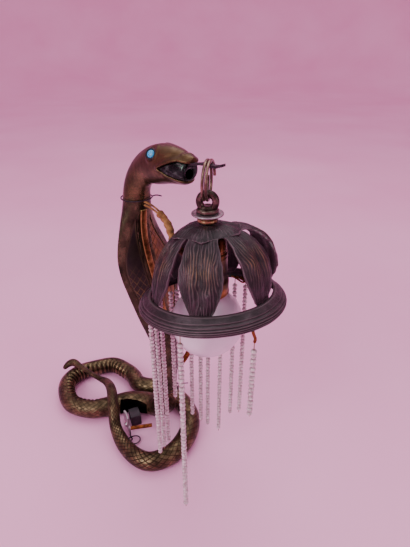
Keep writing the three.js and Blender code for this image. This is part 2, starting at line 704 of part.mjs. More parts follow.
// Lampholder: domed cap, body with its skirt, and a porcelain insert
function holderCap() {
  const r = capDiameter / 2;
  const hole = nippleDiameter / 2 + seatGap;
  const inner = r - holderWall;
  return placed(turned([
    [hole, holderTop], [hole + 2.4, holderTop], [hole + 2.6, holderTop - 5], [r - 4, holderTop - 7],
    [r - 0.6, holderTop - 12], [r, capShoulder + 2], [r, capShoulder], [inner, capShoulder],
    [inner, holderTop - 12.6], [r - 5, holderTop - 8.4], [hole, holderTop - 6.4], [hole, holderTop],
  ].reverse(), 24), 0, lampY, 0);
}

function holderBody() {
  const r = holderDiameter / 2;
  const top = capShoulder - seatGap;
  const neck = capDiameter / 2;
  const inner = r - holderWall;
  return placed(turned([
    [neck, top], [neck + 0.8, top - 1.5], [neck + 0.8, bodyShoulder + 3], [r, bodyShoulder],
    [r, skirtFoot + 2], [r + 0.5, skirtFoot + 1], [r + 0.3, skirtFoot], [inner, skirtFoot],
    [inner, bodyShoulder - 1], [neck - 0.4, bodyShoulder + 2.4], [neck - 0.4, top - 1.4],
    [neck - holderWall, top], [neck, top],
  ].reverse(), 24), 0, lampY, 0);
}

function holderInsert() {
  const outer = capDiameter / 2 - holderWall - seatGap - 0.4;
  const roof = holderTop - 13.6;
  const inner = bulbCapDiameter / 2 + seatGap;
  const deep = bulbCapTop + 2.4;
  return placed(turned([
    [0, roof], [outer, roof], [outer + 0.3, capShoulder - 2], [inner + 0.7, capShoulder - 2.4],
    [inner + 0.7, bodyShoulder + 8], [inner, bodyShoulder + 8], [inner, deep - 0.8],
    [outer - 5, deep - 0.4], [0, deep - 0.4],
  ].reverse(), 24), 0, lampY, 0);
}

// Bulb: frosted envelope, screw cap and contact
function bulbGlass() {
  const r = bulbDiameter / 2;
  const neck = bulbNeckDiameter / 2;
  const top = bulbCapFoot - seatGap;
  const lastAngle = 132;
  const wall = (thickness, steps) => {
    const profile = [];
    for (let i = 0; i <= steps; i += 1) {
      const angle = radians((lastAngle * i) / steps);
      profile.push([(r - thickness) * Math.sin(angle), bulbCentreZ - (r - thickness) * Math.cos(angle)]);
    }
    const [edgeRadius, edgeZ] = profile.at(-1);
    profile.push([edgeRadius - 4.4, edgeZ + 5.4], [neck + 1.2 - thickness, edgeZ + 11]);
    profile.push([neck - thickness, top]);
    return profile;
  };
  return placed(turned([...wall(0, 9), ...wall(bulbWall, 5).reverse()], 20), 0, lampY, 0);
}

function bulbCap() {
  const r = bulbCapDiameter / 2;
  const profile = [[0, bulbCapFoot], [r - 1.2, bulbCapFoot]];
  const threads = 4;
  const pitch = 3.6;
  for (let i = 0; i < threads; i += 1) {
    const z = bulbCapFoot + 2 + pitch * i;
    profile.push([r - 1.2, z], [r, z + pitch / 3], [r, z + pitch / 2]);
  }
  const shoulder = bulbCapFoot + 3 + pitch * threads;
  profile.push([r - 1.6, shoulder], [r - 6, bulbCapTop - 1.2], [0, bulbCapTop - 1.2]);
  return placed(turned(profile, 16), 0, lampY, 0);
}

function bulbContact() {
  const foot = bulbCapTop - 1.2 + seatGap;
  const profile = [[0, foot], [4.6, foot], [4.4, foot + 0.8], [2.4, foot + 1.6], [0, foot + 1.7]];
  return placed(turned(profile, 12), 0, lampY, 0);
}

// Shade pieces hang in their own tilted frame under the locknut
const shade = new THREE.Group();
shade.position.set(0, lampY, crownTop);
shade.rotation.set(radians(shadeTiltX), radians(shadeTiltY), 0);
group.add(shade);

// Point on the dome at a distance down its profile
const domeLengths = domeProfile.map(() => 0);
for (let i = 1; i < domeProfile.length; i += 1) {
  const [r0, z0] = domeProfile[i - 1];
  const [r1, z1] = domeProfile[i];
  domeLengths[i] = domeLengths[i - 1] + Math.hypot(r1 - r0, z1 - z0);
}

function domeAt(length) {
  let i = 0;
  while (i < domeProfile.length - 2 && length > domeLengths[i + 1]) i += 1;
  const t = (length - domeLengths[i]) / (domeLengths[i + 1] - domeLengths[i]);
  const [r, z] = smoothRow(domeProfile, i + t);
  const [rAfter, zAfter] = smoothRow(domeProfile, Math.min(i + t + 0.05, domeProfile.length - 1));
  const [rBefore, zBefore] = smoothRow(domeProfile, Math.max(i + t - 0.05, 0));
  const slope = Math.hypot(rAfter - rBefore, zAfter - zBefore);
  return { r, z, nr: -(zAfter - zBefore) / slope, nz: (rAfter - rBefore) / slope };
}

function domeLengthAtRadius(radius) {
  let i = 0;
  while (i < domeProfile.length - 2 && radius > domeProfile[i + 1][0]) i += 1;
  const t = (radius - domeProfile[i][0]) / (domeProfile[i + 1][0] - domeProfile[i][0]);
  return domeLengths[i] + t * (domeLengths[i + 1] - domeLengths[i]);
}

function shadeCrown() {
  const top = [];
  const under = [];
  const steps = 3;
  const hole = nippleDiameter / 2 + seatGap;
  for (let i = 0; i <= steps; i += 1) {
    const length = (domeLengthAtRadius(crownRadius) * i) / steps;
    const { r, z, nr, nz } = domeAt(length);
    top.push([Math.max(r, hole + 0.6), z]);
    under.push([Math.max(r - nr * sheetThickness, hole + 0.6), z - nz * sheetThickness]);
  }
  const profile = [...top, ...under.reverse()];
  profile.push(profile[0]);
  return turned(profile.map((point) => [...point]).reverse(), 36);
}

// A petal is a bent leaf of sheet metal with a raised rib down its middle
function petal(angle) {
  const alongSteps = 9;
  const acrossSteps = 4;
  const start = domeLengthAtRadius(crownRadius) + petalSeam;
  const end = domeLengths.at(-1);
  const outer = [];
  const inner = [];
  for (let i = 0; i <= alongSteps; i += 1) {
    const t = i / alongSteps;
    const { r, z, nr, nz } = domeAt(start + (end - start) * t);
    const swell = Math.max(Math.sin(Math.PI * t ** 1.3), 0) ** 0.9;
    const base = petalRootHalfWidth + (petalTipHalfWidth - petalRootHalfWidth) * t;
    const half = base + (petalHalfWidth - (petalRootHalfWidth + petalTipHalfWidth) / 2) * swell;
    const rowOut = [];
    const rowIn = [];
    for (let j = 0; j <= acrossSteps; j += 1) {
      const across = -1 + (2 * j) / acrossSteps;
      const turn = radians(angle) + (half * across) / r;
      const cup = 1.6 * (1 - across * across) * swell - 0.9 * Math.exp(-((across * 5) ** 2)) * swell;
      const place = (lift) => new THREE.Vector3(
        (r + nr * lift) * Math.cos(turn), (r + nr * lift) * Math.sin(turn), z + nz * lift,
      );
      rowOut.push(place(cup));
      rowIn.push(place(cup - sheetThickness));
    }
    outer.push(rowOut);
    inner.push(rowIn);
  }
  const rings = outer.map((row, i) => [...row.slice().reverse(), ...inner[i]]);
  return loft(rings);
}

// Rim band: rolled sheet with three ridges, flared at its foot
function rimBand() {
  const rows = 9;
  const outside = [];
  const inside = [];
  for (let i = 0; i <= rows; i += 1) {
    const t = i / rows;
    const r = rimTopRadius + (rimFootRadius - rimTopRadius) * t ** 0.8;
    const z = rimTopZ + (rimFootZ - rimTopZ) * t;
    const ridge = i % 3 === 1 ? rimRidge : 0;
    outside.push([r + ridge, z]);
    if (i % 3 === 0) inside.push([r - rimThickness, z + 0.3]);
  }
  const profile = [...outside, ...inside.reverse(), outside[0]];
  return turned(profile.reverse(), 36);
}

// Bead strands hang plumb from the rim's lower edge
shade.updateMatrixWorld(true);
function rimPoint(bearing, radius, z) {
  const angle = radians(bearing);
  const point = new THREE.Vector3(radius * Math.cos(angle), radius * Math.sin(angle), z);
  return point.applyMatrix4(shade.matrixWorld);
}

function beadStrand(top, length, sides) {
  const r = beadDiameter / 2;
  const end = -length;
  const profile = [
    [0, 0], [0.5, 0], [0.5, -strandWireDrop], [r, -strandWireDrop - 1.5], [r, end + 1.2],
    [r * 0.5, end], [0, end],
  ];
  return placed(turned(profile.reverse(), sides), top.x, top.y, top.z);
}

function strandTop(bearing) {
  return rimPoint(bearing, strandRing, rimFootZ).add(new THREE.Vector3(0, 0, -seatGap));
}

// Wire hook through the right-hand side of the rim
const hookTop = strandTop(hookBearing);
function strandHook() {
  const points = [
    [hookTop.x, hookTop.y, hookTop.z - 0.6], [hookTop.x + 0.6, hookTop.y - 0.4, hookTop.z - 4],
    [hookTop.x + 1.6, hookTop.y - 1.2, hookTop.z - 8],
    [hookTop.x + 1.2, hookTop.y - 1, hookTop.z - hookLength],
  ];
  return wireThrough(points, hookWire, 8, 3);
}

// The bracket stands on edge and carries its screw, the other hardware rests against it
function terminalBracket() {
  const plate = prism(bracketOutline, bracketThickness).rotateX(Math.PI / 2);
  return plate.rotateZ(radians(bracketTurn)).translate(...bracketFoot, 0);
}

function screwHead() {
  const r = screwDiameter / 2;
  const screw = turned([[0, 0], [r, 0], [r, 0.8], [r - 1, 2.2], [0, 2.4]], 16);
  return screw.rotateY(-Math.PI / 2).rotateZ(radians(bracketTurn - 90)).translate(...screwPlace);
}

function tieRod() {
  const [from, to] = rodEnds.map((end) => new THREE.Vector3(...end));
  return wire(new THREE.LineCurve3(from, to), rodDiameter, 10, 1);
}

function terminalBlock() {
  const block = new THREE.BoxGeometry(...terminalBlockSize).rotateZ(radians(bracketTurn - 90));
  return block.translate(...terminalBlockPlace);
}

function wireLoop() {
  const [x, y] = wireLoopCentre;
  const points = [[x - 1.4, y + 8.8, 1.4], [x - 1.7, y + 7.4, 1.3]];
  const steps = 10;
  for (let i = 0; i <= steps; i += 1) {
    const angle = radians(112 + (310 * i) / steps);
    const lift = 1.1 + (1.8 * i) / steps;
    points.push([x + wireLoopReach[0] * Math.cos(angle), y + wireLoopReach[1] * Math.sin(angle), lift]);
  }
  return wireThrough(points, wireLoopDiameter, 6, 1);
}

addPiece('tail_casting', tailCasting(), agedBrass);
addPiece('coil_casting', coilCasting(), agedBrass);
addPiece('body_casting', bodyCasting(), agedBrass);
addPiece('hood_panel_left', hoodPanel(-1), darkEnamel);
addPiece('hood_panel_right', hoodPanel(1), brownEnamel);
addPiece('throat_strip', throatStrip(), wornBrass);
addPiece('head_casting', headCasting(), wornBrass);
addPiece('mouth_lining', mouthLining(), greyLining);
addPiece('tongue', tongue(), blackIron);
for (const [side, label] of [[-1, 'left'], [1, 'right']]) {
  addPiece(`eye_bezel_${label}`, eyeBezel(side), blackIron);
  addPiece(`eye_stone_${label}`, eyeStone(side), turquoise);
}
addPiece('neck_tie_wire', tieWire(-8.4, 2.1, neckTieZ, 12.2, 8), blackIron);
addPiece('foot_tie_wire', tieWire(14, 9, footTieZ, 13.3, 12), blackIron);
addPiece('outlet_tube', wireThrough(outletRoute, outletDiameter, 10, 2), rustedSteel);
addPiece('terminal_bracket', terminalBracket(), zincSteel);
addPiece('bracket_screw', screwHead(), zincSteel);
addPiece('tie_rod', tieRod(), rustedSteel);
addPiece('terminal_block', terminalBlock(), blackIron);
addPiece('wire_loop', wireLoop(), blackIron);
for (const [label, side] of [['upper', 1], ['lower', -1]]) {
  const route = throatWireRoute.map(([x, y, z]) => [x, y, z + (side * throatWireSpread) / 2]);
  addPiece(`throat_wire_${label}`, wireThrough(route, throatWireDiameter, 6, 1), tanCord);
}
addPiece('supply_cord', wireThrough(cordRoute, cordDiameter, cordSides, 2), tanCord);
addPiece('split_ring', wire(new SplitRingCurve(), ringWire, 6, 24 * ringTurns), agedBrass);
addPiece('eye_finial', eyeFinial(), agedBrass);
addPiece('washer', washer(), zincSteel);
addPiece('locknut', locknut(), wornBrass);
addPiece('threaded_nipple', nipple(), zincSteel);
addPiece('holder_cap', holderCap(), wornBrass);
addPiece('holder_body', holderBody(), wornBrass);
addPiece('holder_insert', holderInsert(), porcelain);
addPiece('bulb_glass', bulbGlass(), frostedGlass);
addPiece('bulb_cap', bulbCap(), capAlloy);
addPiece('bulb_contact', bulbContact(), capAlloy);
addPiece('shade_crown', shadeCrown(), shadeBronze, shade);
petalAngles.forEach((angle, i) => addPiece(`shade_petal_${i + 1}`, petal(angle), shadeBronze, shade));
addPiece('rim_band', rimBand(), shadeBronze, shade);
addPiece('strand_hook', strandHook(), rustedSteel);
for (const [name, bearing, length] of strands) {
  addPiece(`strand_${name}`, beadStrand(strandTop(bearing), length, strandSides), clearBead);
}
const hookStrandTop = new THREE.Vector3(hookTop.x + 1.2, hookTop.y - 1, hookTop.z - hookLength - seatGap);
addPiece('strand_hooked', beadStrand(hookStrandTop, hookStrandLength, strandSides), clearBead);

// The origin is under the middle of the whole lamp, on the table
const extent = new THREE.Box3().setFromObject(group, true);
const middle = extent.getCenter(new THREE.Vector3());
group.position.set(-middle.x, -middle.y, 0);

export default group;
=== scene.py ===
import math
import bmesh
import bpy
import numpy as np
from mathutils import Matrix, Vector, noise


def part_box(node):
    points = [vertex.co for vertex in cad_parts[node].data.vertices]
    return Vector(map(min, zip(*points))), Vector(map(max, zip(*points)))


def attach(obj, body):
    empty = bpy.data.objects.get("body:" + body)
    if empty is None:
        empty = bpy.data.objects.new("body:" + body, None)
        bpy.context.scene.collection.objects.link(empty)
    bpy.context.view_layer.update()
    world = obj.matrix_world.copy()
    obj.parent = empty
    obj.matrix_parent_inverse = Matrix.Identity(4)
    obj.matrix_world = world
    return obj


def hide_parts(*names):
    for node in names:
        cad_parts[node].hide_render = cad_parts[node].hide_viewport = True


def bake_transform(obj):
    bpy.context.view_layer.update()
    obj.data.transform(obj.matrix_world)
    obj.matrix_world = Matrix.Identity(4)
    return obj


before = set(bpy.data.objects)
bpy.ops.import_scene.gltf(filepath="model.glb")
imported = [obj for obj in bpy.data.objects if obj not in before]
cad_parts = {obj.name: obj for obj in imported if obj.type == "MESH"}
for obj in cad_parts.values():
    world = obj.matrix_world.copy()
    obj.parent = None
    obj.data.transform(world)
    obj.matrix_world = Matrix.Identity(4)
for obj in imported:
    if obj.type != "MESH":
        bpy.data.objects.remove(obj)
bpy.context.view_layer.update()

# Camera, table and light
# The lamp is seen from its front left, a little from above, on a pale pink floor that
# sweeps up into a wall of the same paint, under soft light.
LAMP_Y = -82
low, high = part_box("washer")
lamp_axis = (low + high) / 2


def placed(points):
    """Row-frame metres of points in mm from the spot on the table under the hood."""
    return (np.asarray(points, float) + (0, -LAMP_Y, 0)) * 0.001 + (lamp_axis.x, lamp_axis.y, 0)


scene = bpy.context.scene
camera = bpy.data.objects.new("camera", bpy.data.cameras.new("camera"))
camera.location = placed((-183.63, -297.88, 410))
camera.rotation_euler = (math.radians(61.5), 0, math.radians(-40))
camera.data.lens = 27.05
camera.data.clip_start = 0.01
scene.collection.objects.link(camera)
scene.camera = camera


def linear(code):
    """Linear colour of an sRGB hex code."""
    parts = [int(code[i:i + 2], 16) / 255 for i in (1, 3, 5)]
    return [c / 12.92 if c <= 0.04045 else ((c + 0.055) / 1.055) ** 2.4 for c in parts] + [1]


def add(tree, kind, inputs=None, stops=(), out=0, to=None, **settings):
    """Adds a node with its settings, ramp stops and links, and gives one of its outputs."""
    node = tree.nodes.new("ShaderNode" + kind)
    for key, value in settings.items():
        setattr(node, key, value)
    for key, value in (inputs or {}).items():
        if isinstance(value, bpy.types.NodeSocket):
            tree.links.new(value, node.inputs[key])
        else:
            node.inputs[key].default_value = linear(value) if isinstance(value, str) else value
    if stops:
        elements = node.color_ramp.elements
        while len(elements) < len(stops):
            elements.new(1)
        for element, (place, tone) in zip(elements, stops):
            element.position, element.color = place, linear(tone)
    if to:
        tree.links.new(node.outputs[out], to)
    return node.outputs[out]


def every(mm):
    """Texture scale of a pattern whose patches are so many mm wide."""
    return 1000 / mm


def new_material(name, **values):
    """A material with its node tree, its surface inputs and the place on the piece in m."""
    material = bpy.data.materials.new(name)
    material.use_nodes = True
    tree = material.node_tree
    surface = tree.nodes["Principled BSDF"].inputs
    for key, value in values.items():
        surface[key.replace("_", " ")].default_value = value
    return material, tree, surface, add(tree, "TexCoord", out="Object")


def mottled(name, width, detail, stops, coarse=0.5, **values):
    """A material whose colour drifts through the stops, in patches of a width in mm.

    Gives what new_material gives, and the outputs for the patches and for their colour."""
    material, tree, surface, spot = new_material(name, **values)
    patches = add(tree, "TexNoise", {"Vector": spot, "Scale": every(width), "Detail": detail,
                                     "Roughness": coarse})
    tone = add(tree, "ValToRGB", {"Fac": patches}, stops, to=surface["Base Color"])
    return material, tree, surface, spot, patches, tone


def turns(sides):
    """Angles of points spaced evenly round a circle."""
    return np.arange(sides) * 2 * math.pi / sides


def skin_faces(count, sides):
    """Quads over a stack of closed rings, with a flat face at each end."""
    i, j = np.meshgrid(np.arange(count - 1), np.arange(sides), indexing="ij")
    k = (j + 1) % sides
    quads = np.stack([i * sides + j, i * sides + k, (i + 1) * sides + k, (i + 1) * sides + j], -1)
    ends = [list(range(sides))[::-1], list(range((count - 1) * sides, count * sides))]
    return quads.reshape(-1, 4).tolist() + ends


# Matt floor paint, rolled on: an even pink with broad, faint clouds
painted_floor = mottled("matt floor paint", 500, 4, [(0.3, "#e99fca"), (0.7, "#f0b0d6")], Roughness=0.6)[0]
FLAT_RADIUS, SWEEP, WALL_TOP, FLOOR_HEIGHT, FLOOR_SIDES = 4, 2, 5, -0.0003, 64
profile = ([(FLAT_RADIUS / 2, FLOOR_HEIGHT), (FLAT_RADIUS, FLOOR_HEIGHT)]
           + [(FLAT_RADIUS + SWEEP * math.sin(t), SWEEP - SWEEP * math.cos(t))
              for t in np.linspace(0.2, math.pi / 2, 8)] + [(FLAT_RADIUS + SWEEP, WALL_TOP)])
floor = bpy.data.objects.new("floor", bpy.data.meshes.new("floor"))
points = [(r * math.cos(t), r * math.sin(t), z) for r, z in profile for t in turns(FLOOR_SIDES)]
faces = [face[::-1] for face in skin_faces(len(profile), FLOOR_SIDES)[:-1]]
floor.data.from_pydata(points, [], faces)
floor.data.shade_smooth()
floor.data.materials.append(painted_floor)
scene.collection.objects.link(floor)

world = bpy.data.worlds.new("room")
world.use_nodes = True
room_light = world.node_tree.nodes["Background"].inputs
room_light["Color"].default_value = linear("#f5e3ee")
room_light["Strength"].default_value = 1.2
scene.world = world
for name, place, size, power in [
        ("window light", (-1.3, -0.2, 1.0), 0.8, 15), ("ceiling light", (0.5, 0.3, 1.7), 1.2, 9),
        ("front fill", (0.5, -1.5, 0.7), 0.8, 4)]:
    lamp = bpy.data.objects.new(name, bpy.data.lights.new(name, "AREA"))
    lamp.location = place
    lamp.rotation_euler = (Vector((0, 0, 0.15)) - Vector(place)).to_track_quat("-Z", "Y").to_euler()
    lamp.data.size, lamp.data.energy = size, power
    scene.collection.objects.link(lamp)

# Supply lead
# Two bare tan wires leave the throat and go under cloth tape, wound round them up to
# the lampholder inside the shade. The tape is old woven cotton, matt and a little frayed.
def smooth_row(rows, position):
    """Row at a place between the given rows, on a smooth curve through them."""
    last = len(rows) - 1
    i = min(max(int(position), 0), last - 1)
    t = position - i
    p0, p1, p2, p3 = (np.array(rows[k], float) for k in (max(i - 1, 0), i, i + 1, min(i + 2, last)))
    slope_in, slope_out, rise = (p2 - p0) / 2, (p3 - p1) / 2, p2 - p1
    return p1 + t * (slope_in + t * (3 * rise - 2 * slope_in - slope_out
                                     + t * (slope_in + slope_out - 2 * rise)))


def even_rows(route, step):
    """Stations an even distance apart on a smooth route, with distance and place in the route."""
    places = np.linspace(0, len(route) - 1, 30 * len(route))
    fine = np.array([smooth_row(route, p) for p in places])
    gone = np.concatenate([[0], np.cumsum(np.linalg.norm(np.diff(fine[:, :3], axis=0), axis=1))])
    stops = np.linspace(0, gone[-1], max(round(gone[-1] / step), 2) + 1)
    return (np.array([np.interp(stops, gone, column) for column in fine.T]).T, stops,
            np.interp(stops, gone, places))


def sweep(rows, sides, relief=0.0):
    """Closed round skin along rows of x, y, z, radius. Angle 0 is the right-hand side, 90 is up."""
    along = np.gradient(rows[:, :3], axis=0)
    along /= np.linalg.norm(along, axis=1)[:, None]
    side = np.cross(along[0], (0, 0, 1))
    if np.linalg.norm(side) < 0.05:
        side = np.array((1.0, 0, 0))
    frames = []
    for direction in along:
        side = side - direction * side.dot(direction)
        side = side / np.linalg.norm(side)
        frames.append((side, np.cross(side, direction)))
    angle = turns(sides)
    radius = (rows[:, 3][:, None] + relief) * np.ones((1, sides))
    across, over = (np.array([f[k] for f in frames])[:, None, :] for k in (0, 1))
    ring = across * np.cos(angle)[None, :, None] + over * np.sin(angle)[None, :, None]
    return rows[:, None, :3] + ring * radius[..., None]


def closed_mesh(name, points, faces):
    """Mesh of points in mm with all its faces turned outwards."""
    mesh = bpy.data.meshes.new(name)
    mesh.from_pydata(placed(np.asarray(points).reshape(-1, 3)).tolist(), [], faces)
    build = bmesh.new()
    build.from_mesh(mesh)
    bmesh.ops.recalc_face_normals(build, faces=build.faces)
    build.to_mesh(mesh)
    build.free()
    return mesh


def piece(name, points, faces, material, body, slot, nodes=None):
    """A mesh of points in mm that rides on a body, in place of the CAD node of its own name."""
    made = bpy.data.objects.new(name, closed_mesh(name, points, faces))
    made.data.shade_smooth()
    made.data.materials.append(material)
    scene.collection.objects.link(made)
    if body:
        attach(made, body)
    nodes = [name] if nodes is None else nodes
    if nodes:
        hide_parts(*nodes)
    return made


def tube(name, route, material, body, slot, nodes=None, step=0.6, sides=16):
    """A round wire or rod along a route of x, y, z, radius."""
    rows = even_rows(route, step)[0]
    return piece(name, sweep(rows, sides), skin_faces(len(rows), sides), material, body, slot, nodes)


# Cotton tape: matt and tan, darker in the laps and where hands have held it; woven at 0.5 mm.
# A wave repeats every tenth of pi, so its scale is worked out from the weave with that.
cotton_tape, tree, surface, spot, _, tone = mottled(
    "cotton tape", 6.25, 4, [(0.3, "#4f3115"), (0.5, "#83592a"), (0.7, "#ab8048")], Roughness=0.85)
weave = add(tree, "TexWave", {"Vector": spot, "Scale": every(0.507) * math.pi / 10, "Distortion": 2.0,
                              "Detail": 2})
add(tree, "MixRGB", {0: 0.35, 1: tone, 2: weave}, to=surface["Base Color"], blend_type="MULTIPLY")
add(tree, "Bump", {"Height": weave, "Distance": 0.0002, "Strength": 0.6}, to=surface["Normal"])

THROAT_WIRE, THROAT_WIRE_SPREAD = 1.8, 3
THROAT_ROUTE = [(-9, -10.5, 296.6), (-9.2, -15, 297), (-9.4, -22, 296.8), (-9.8, -28, 296.2),
                (-10.2, -33.4, 295.2)]
throat_wires = []
for label, side in (("upper", 1), ("lower", -1)):
    route = [(x, y, z + side * THROAT_WIRE_SPREAD / 2, THROAT_WIRE / 2) for x, y, z in THROAT_ROUTE]
    throat_wires.append(tube(f"throat_wire_{label}", route, cotton_tape, None, "tan_tape", step=0.8,
                             sides=12))

CORD, TAPE_WIDTH, CORD_SIDES = 6.4, 7, 40
CORD_ROUTE = [(-10.3, -34, 295.1), (-10.6, -37, 294.4), (-11.2, -42, 293), (-12.2, -47.5, 291),
              (-13.6, -52.5, 288.2), (-15.4, -57, 284.6), (-16.4, -60.6, 280.4), (-15.6, -64, 276.6),
              (-13.6, -67, 274.2), (-11.3, -69.4, 272.8)]
rows, gone, _ = even_rows([(*p, CORD / 2) for p in CORD_ROUTE], 0.35)
lap = (gone[:, None] / TAPE_WIDTH + np.arange(CORD_SIDES)[None, :] / CORD_SIDES) % 1
lumps = 0.22 * np.sin(gone * 0.9)[:, None] + 0.2 * np.sin(gone * 0.37 + 1)[:, None] - 0.2
ends = np.minimum(gone, gone[-1] - gone)
rows[:, 3] *= np.minimum(1, 0.55 + 0.45 * np.sqrt(np.clip(ends / 1.6, 0, 1)))
taped_cord = piece("supply_cord", sweep(rows, CORD_SIDES, lumps - 0.42 * lap ** 3),
                   skin_faces(len(rows), CORD_SIDES), cotton_tape, None, "tan_tape")
path = placed([smooth_row(CORD_ROUTE, p) for p in np.linspace(0, len(CORD_ROUTE) - 1, 37)])
for wire in throat_wires:
    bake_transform(wire)
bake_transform(taped_cord)

# Coiled base castings
# Two hollow brass castings make the coils: the tail with the front loop, and the rear loop
# with the foot of the upright. Scales are chased in the back and ribs stand on the belly.
TAIL_ROUTE = [
    (-51.8, 164.6, 20.8, 1.4), (-50, 164.6, 22, 3.0), (-44, 163.6, 26, 4.6), (-38, 159, 28, 5.2),
    (-34, 142, 28.2, 3.4), (-30, 122, 28.6, 3.0), (-26, 106, 29.4, 3.6), (-23, 91, 31.5, 5.2),
    (-26, 74, 33.5, 6.2), (-35, 54, 31, 6.6), (-41, 42, 23, 6.8), (-45, 31, 14, 7.2), (-47, 11, 8.4, 8.6),
    (-45, -13, 9.2, 9.6), (-36, -29, 9.9, 10.4), (-17, -36, 10.5, 11), (3, -33, 10.8, 11.3),
    (22, -23, 11, 11.5), (35, -9, 11.2, 11.6), (40.5, 6, 11.2, 11.7), (42.3, 17, 11.2, 11.7),
    (42.6, 27.7, 11.2, 11.7)]
COIL_ROUTE = [
    (42.6, 28, 11.2, 11.7), (41.8, 40, 11.2, 11.7), (36, 58, 11, 11.5), (24, 71, 10.8, 11.3),
    (18, 84, 10.5, 11), (20, 99, 10.4, 10.9), (19, 114, 10.4, 10.9), (11, 138, 10.4, 10.9),
    (-10, 149, 10.4, 10.9), (-33, 155, 10.4, 10.9), (-52, 149, 10.4, 10.9), (-63, 133, 10.4, 10.9),
    (-67, 107, 10.6, 11.1), (-54, 84, 11, 11.5), (-39, 74, 11.6, 12.1), (-24, 67, 12.3, 12.7),
    (-9, 60, 12.8, 13), (4, 46, 14, 13.4), (11, 30, 17.5, 13.7), (13.5, 17, 27, 13.5),
    (14, 10.5, 41, 13.2), (14, 9, 54, 13.1), (14, 9, 66, 13.1)]


def lattice(tree, sharpness=0.33):
    """Diamond net from the skin marks: 0 inside a scale, 1 in the line between scales."""
    parts = tree.nodes.new("ShaderNodeSeparateXYZ")
    tree.links.new(add(tree, "Attribute", attribute_name="skin", out="Vector"), parts.inputs[0])
    u, v, plain = parts.outputs
    lines = []
    for operation in ("ADD", "SUBTRACT"):
        slant = add(tree, "Math", {0: u, 1: v}, operation=operation)
        cell = add(tree, "Math", {0: slant, 1: 1.0}, operation="FLOORED_MODULO")
        centred = add(tree, "Math", {0: cell, 1: 0.5}, operation="SUBTRACT")
        lines.append(add(tree, "Math", {0: centred}, operation="ABSOLUTE"))
    edge = add(tree, "Math", {0: lines[0], 1: lines[1]}, operation="MAXIMUM")
    net = add(tree, "MapRange", {0: edge, 1: sharpness, 2: 0.5}, interpolation_type="SMOOTHSTEP")
    shown = add(tree, "Math", {0: 1.0, 1: plain}, operation="SUBTRACT")
    return add(tree, "Math", {0: net, 1: shown}, operation="MULTIPLY")


def weathered_metal(name, dark, body, rubbed, roughness=0.36, mottle=13.33, scaled=False, handled=None):
    """Metal under patina, rust or grime: dull on flats, bright where it is rubbed; a scaled one is dark in
    the lines between its scales and has painted shade in its marked rib troughs.

    handled is the foot and top in m of a part that hands have rubbed, with its colour."""
    material, tree, surface, spot, clouds, tone = mottled(
        name, mottle, 7, [(0.34, dark), (0.5, body), (0.7, rubbed)], coarse=0.62, Metallic=0.92)
    # Pits of the sand mould, a good millimetre wide
    speckle = add(tree, "TexNoise", {"Vector": spot, "Scale": every(1.11), "Detail": 3})
    if handled:
        foot, top, rubbed_and_highlit = handled
        up = add(tree, "SeparateXYZ", {0: spot}, out="Z")
        rise = add(tree, "MapRange", {0: up, 1: foot, 2: top, 4: 0.65})
        tone = add(tree, "MixRGB", {0: rise, 1: tone, 2: rubbed_and_highlit})
    worn = add(tree, "MapRange", {0: add(tree, "NewGeometry", out="Pointiness"), 1: 0.51, 2: 0.6, 4: 0.7})
    tone = add(tree, "MixRGB", {0: worn, 1: tone, 2: rubbed})
    tone = add(tree, "MixRGB", {0: 0.25, 1: tone, 2: speckle}, blend_type="OVERLAY")
    height = clouds
    if scaled:
        net = lattice(tree)
        height = add(tree, "Math", {0: clouds, 1: net}, operation="SUBTRACT")
        # Dark lines between the scales, and painted shade in the troughs between the belly ribs
        for dirt_and_shade in (net, add(tree, "Attribute", attribute_name="rib_trough_shade", out="Fac")):
            tone = add(tree, "MixRGB", {0: dirt_and_shade, 1: tone, 2: "#120d08"})
    tree.links.new(tone, surface["Base Color"])
    add(tree, "MapRange", {0: clouds, 1: 0.3, 2: 0.7, 3: roughness + 0.16, 4: roughness - 0.08},
        to=surface["Roughness"])
    add(tree, "Bump", {"Height": height, "Distance": 0.0005, "Strength": 0.7}, to=surface["Normal"])
    return material


# Chased brass: olive brown, with black lines between the scales, painted shade between the belly ribs and
# gold on what hands rub
chased_brass = weathered_metal("chased brass", "#30281b", "#584a36", "#857153", roughness=0.31, scaled=True)
# The inside of a casting is rough, and painted near black as the deep shade inside it
painted_shade_casting = weathered_metal("casting inside in painted shade", "#070505", "#120c09", "#2a1d14", roughness=0.6)


def mark_scales(mesh, along, cells, plain, sides):
    """Writes for each corner how many scales along and around it is, and how plain the skin is."""
    vertex = np.empty(len(mesh.loops), np.int32)
    mesh.loops.foreach_get("vertex_index", vertex)
    row, column = np.minimum(vertex // sides, len(along) - 1), vertex % sides
    starts = np.array([p.loop_start for p in mesh.polygons])
    totals = np.array([p.loop_total for p in mesh.polygons])
    # A quad that closes a ring has corners in the last column and in the first, which count on
    closes = ((totals == 4) & (np.maximum.reduceat(column, starts) == sides - 1)).repeat(totals)
    marks = np.zeros((len(vertex), 3), np.float32)
    marks[:, 0] = along[row]
    marks[:, 1] = (column + np.where(closes & (column == 0), sides, 0)) / sides * cells
    marks[:, 2] = plain[row, column]
    mesh.attributes.new("skin", "FLOAT_VECTOR", "CORNER").data.foreach_set("vector", marks.ravel())


def mark(made, name, values):
    """Writes a number or a vector for each point, which the material reads by name."""
    values = np.asarray(values, np.float32)
    kind, key = ("FLOAT_VECTOR", "vector") if values.ndim == 2 else ("FLOAT", "value")
    made.data.attributes.new(name, kind, "POINT").data.foreach_set(key, values.ravel())


def apply_modifiers(made):
    """Turns a piece into the mesh that its modifiers make of it."""
    bpy.context.view_layer.update()
    evaluated = made.evaluated_get(bpy.context.evaluated_depsgraph_get())
    mesh = bpy.data.meshes.new_from_object(evaluated)
    made.modifiers.clear()
    made.data = mesh


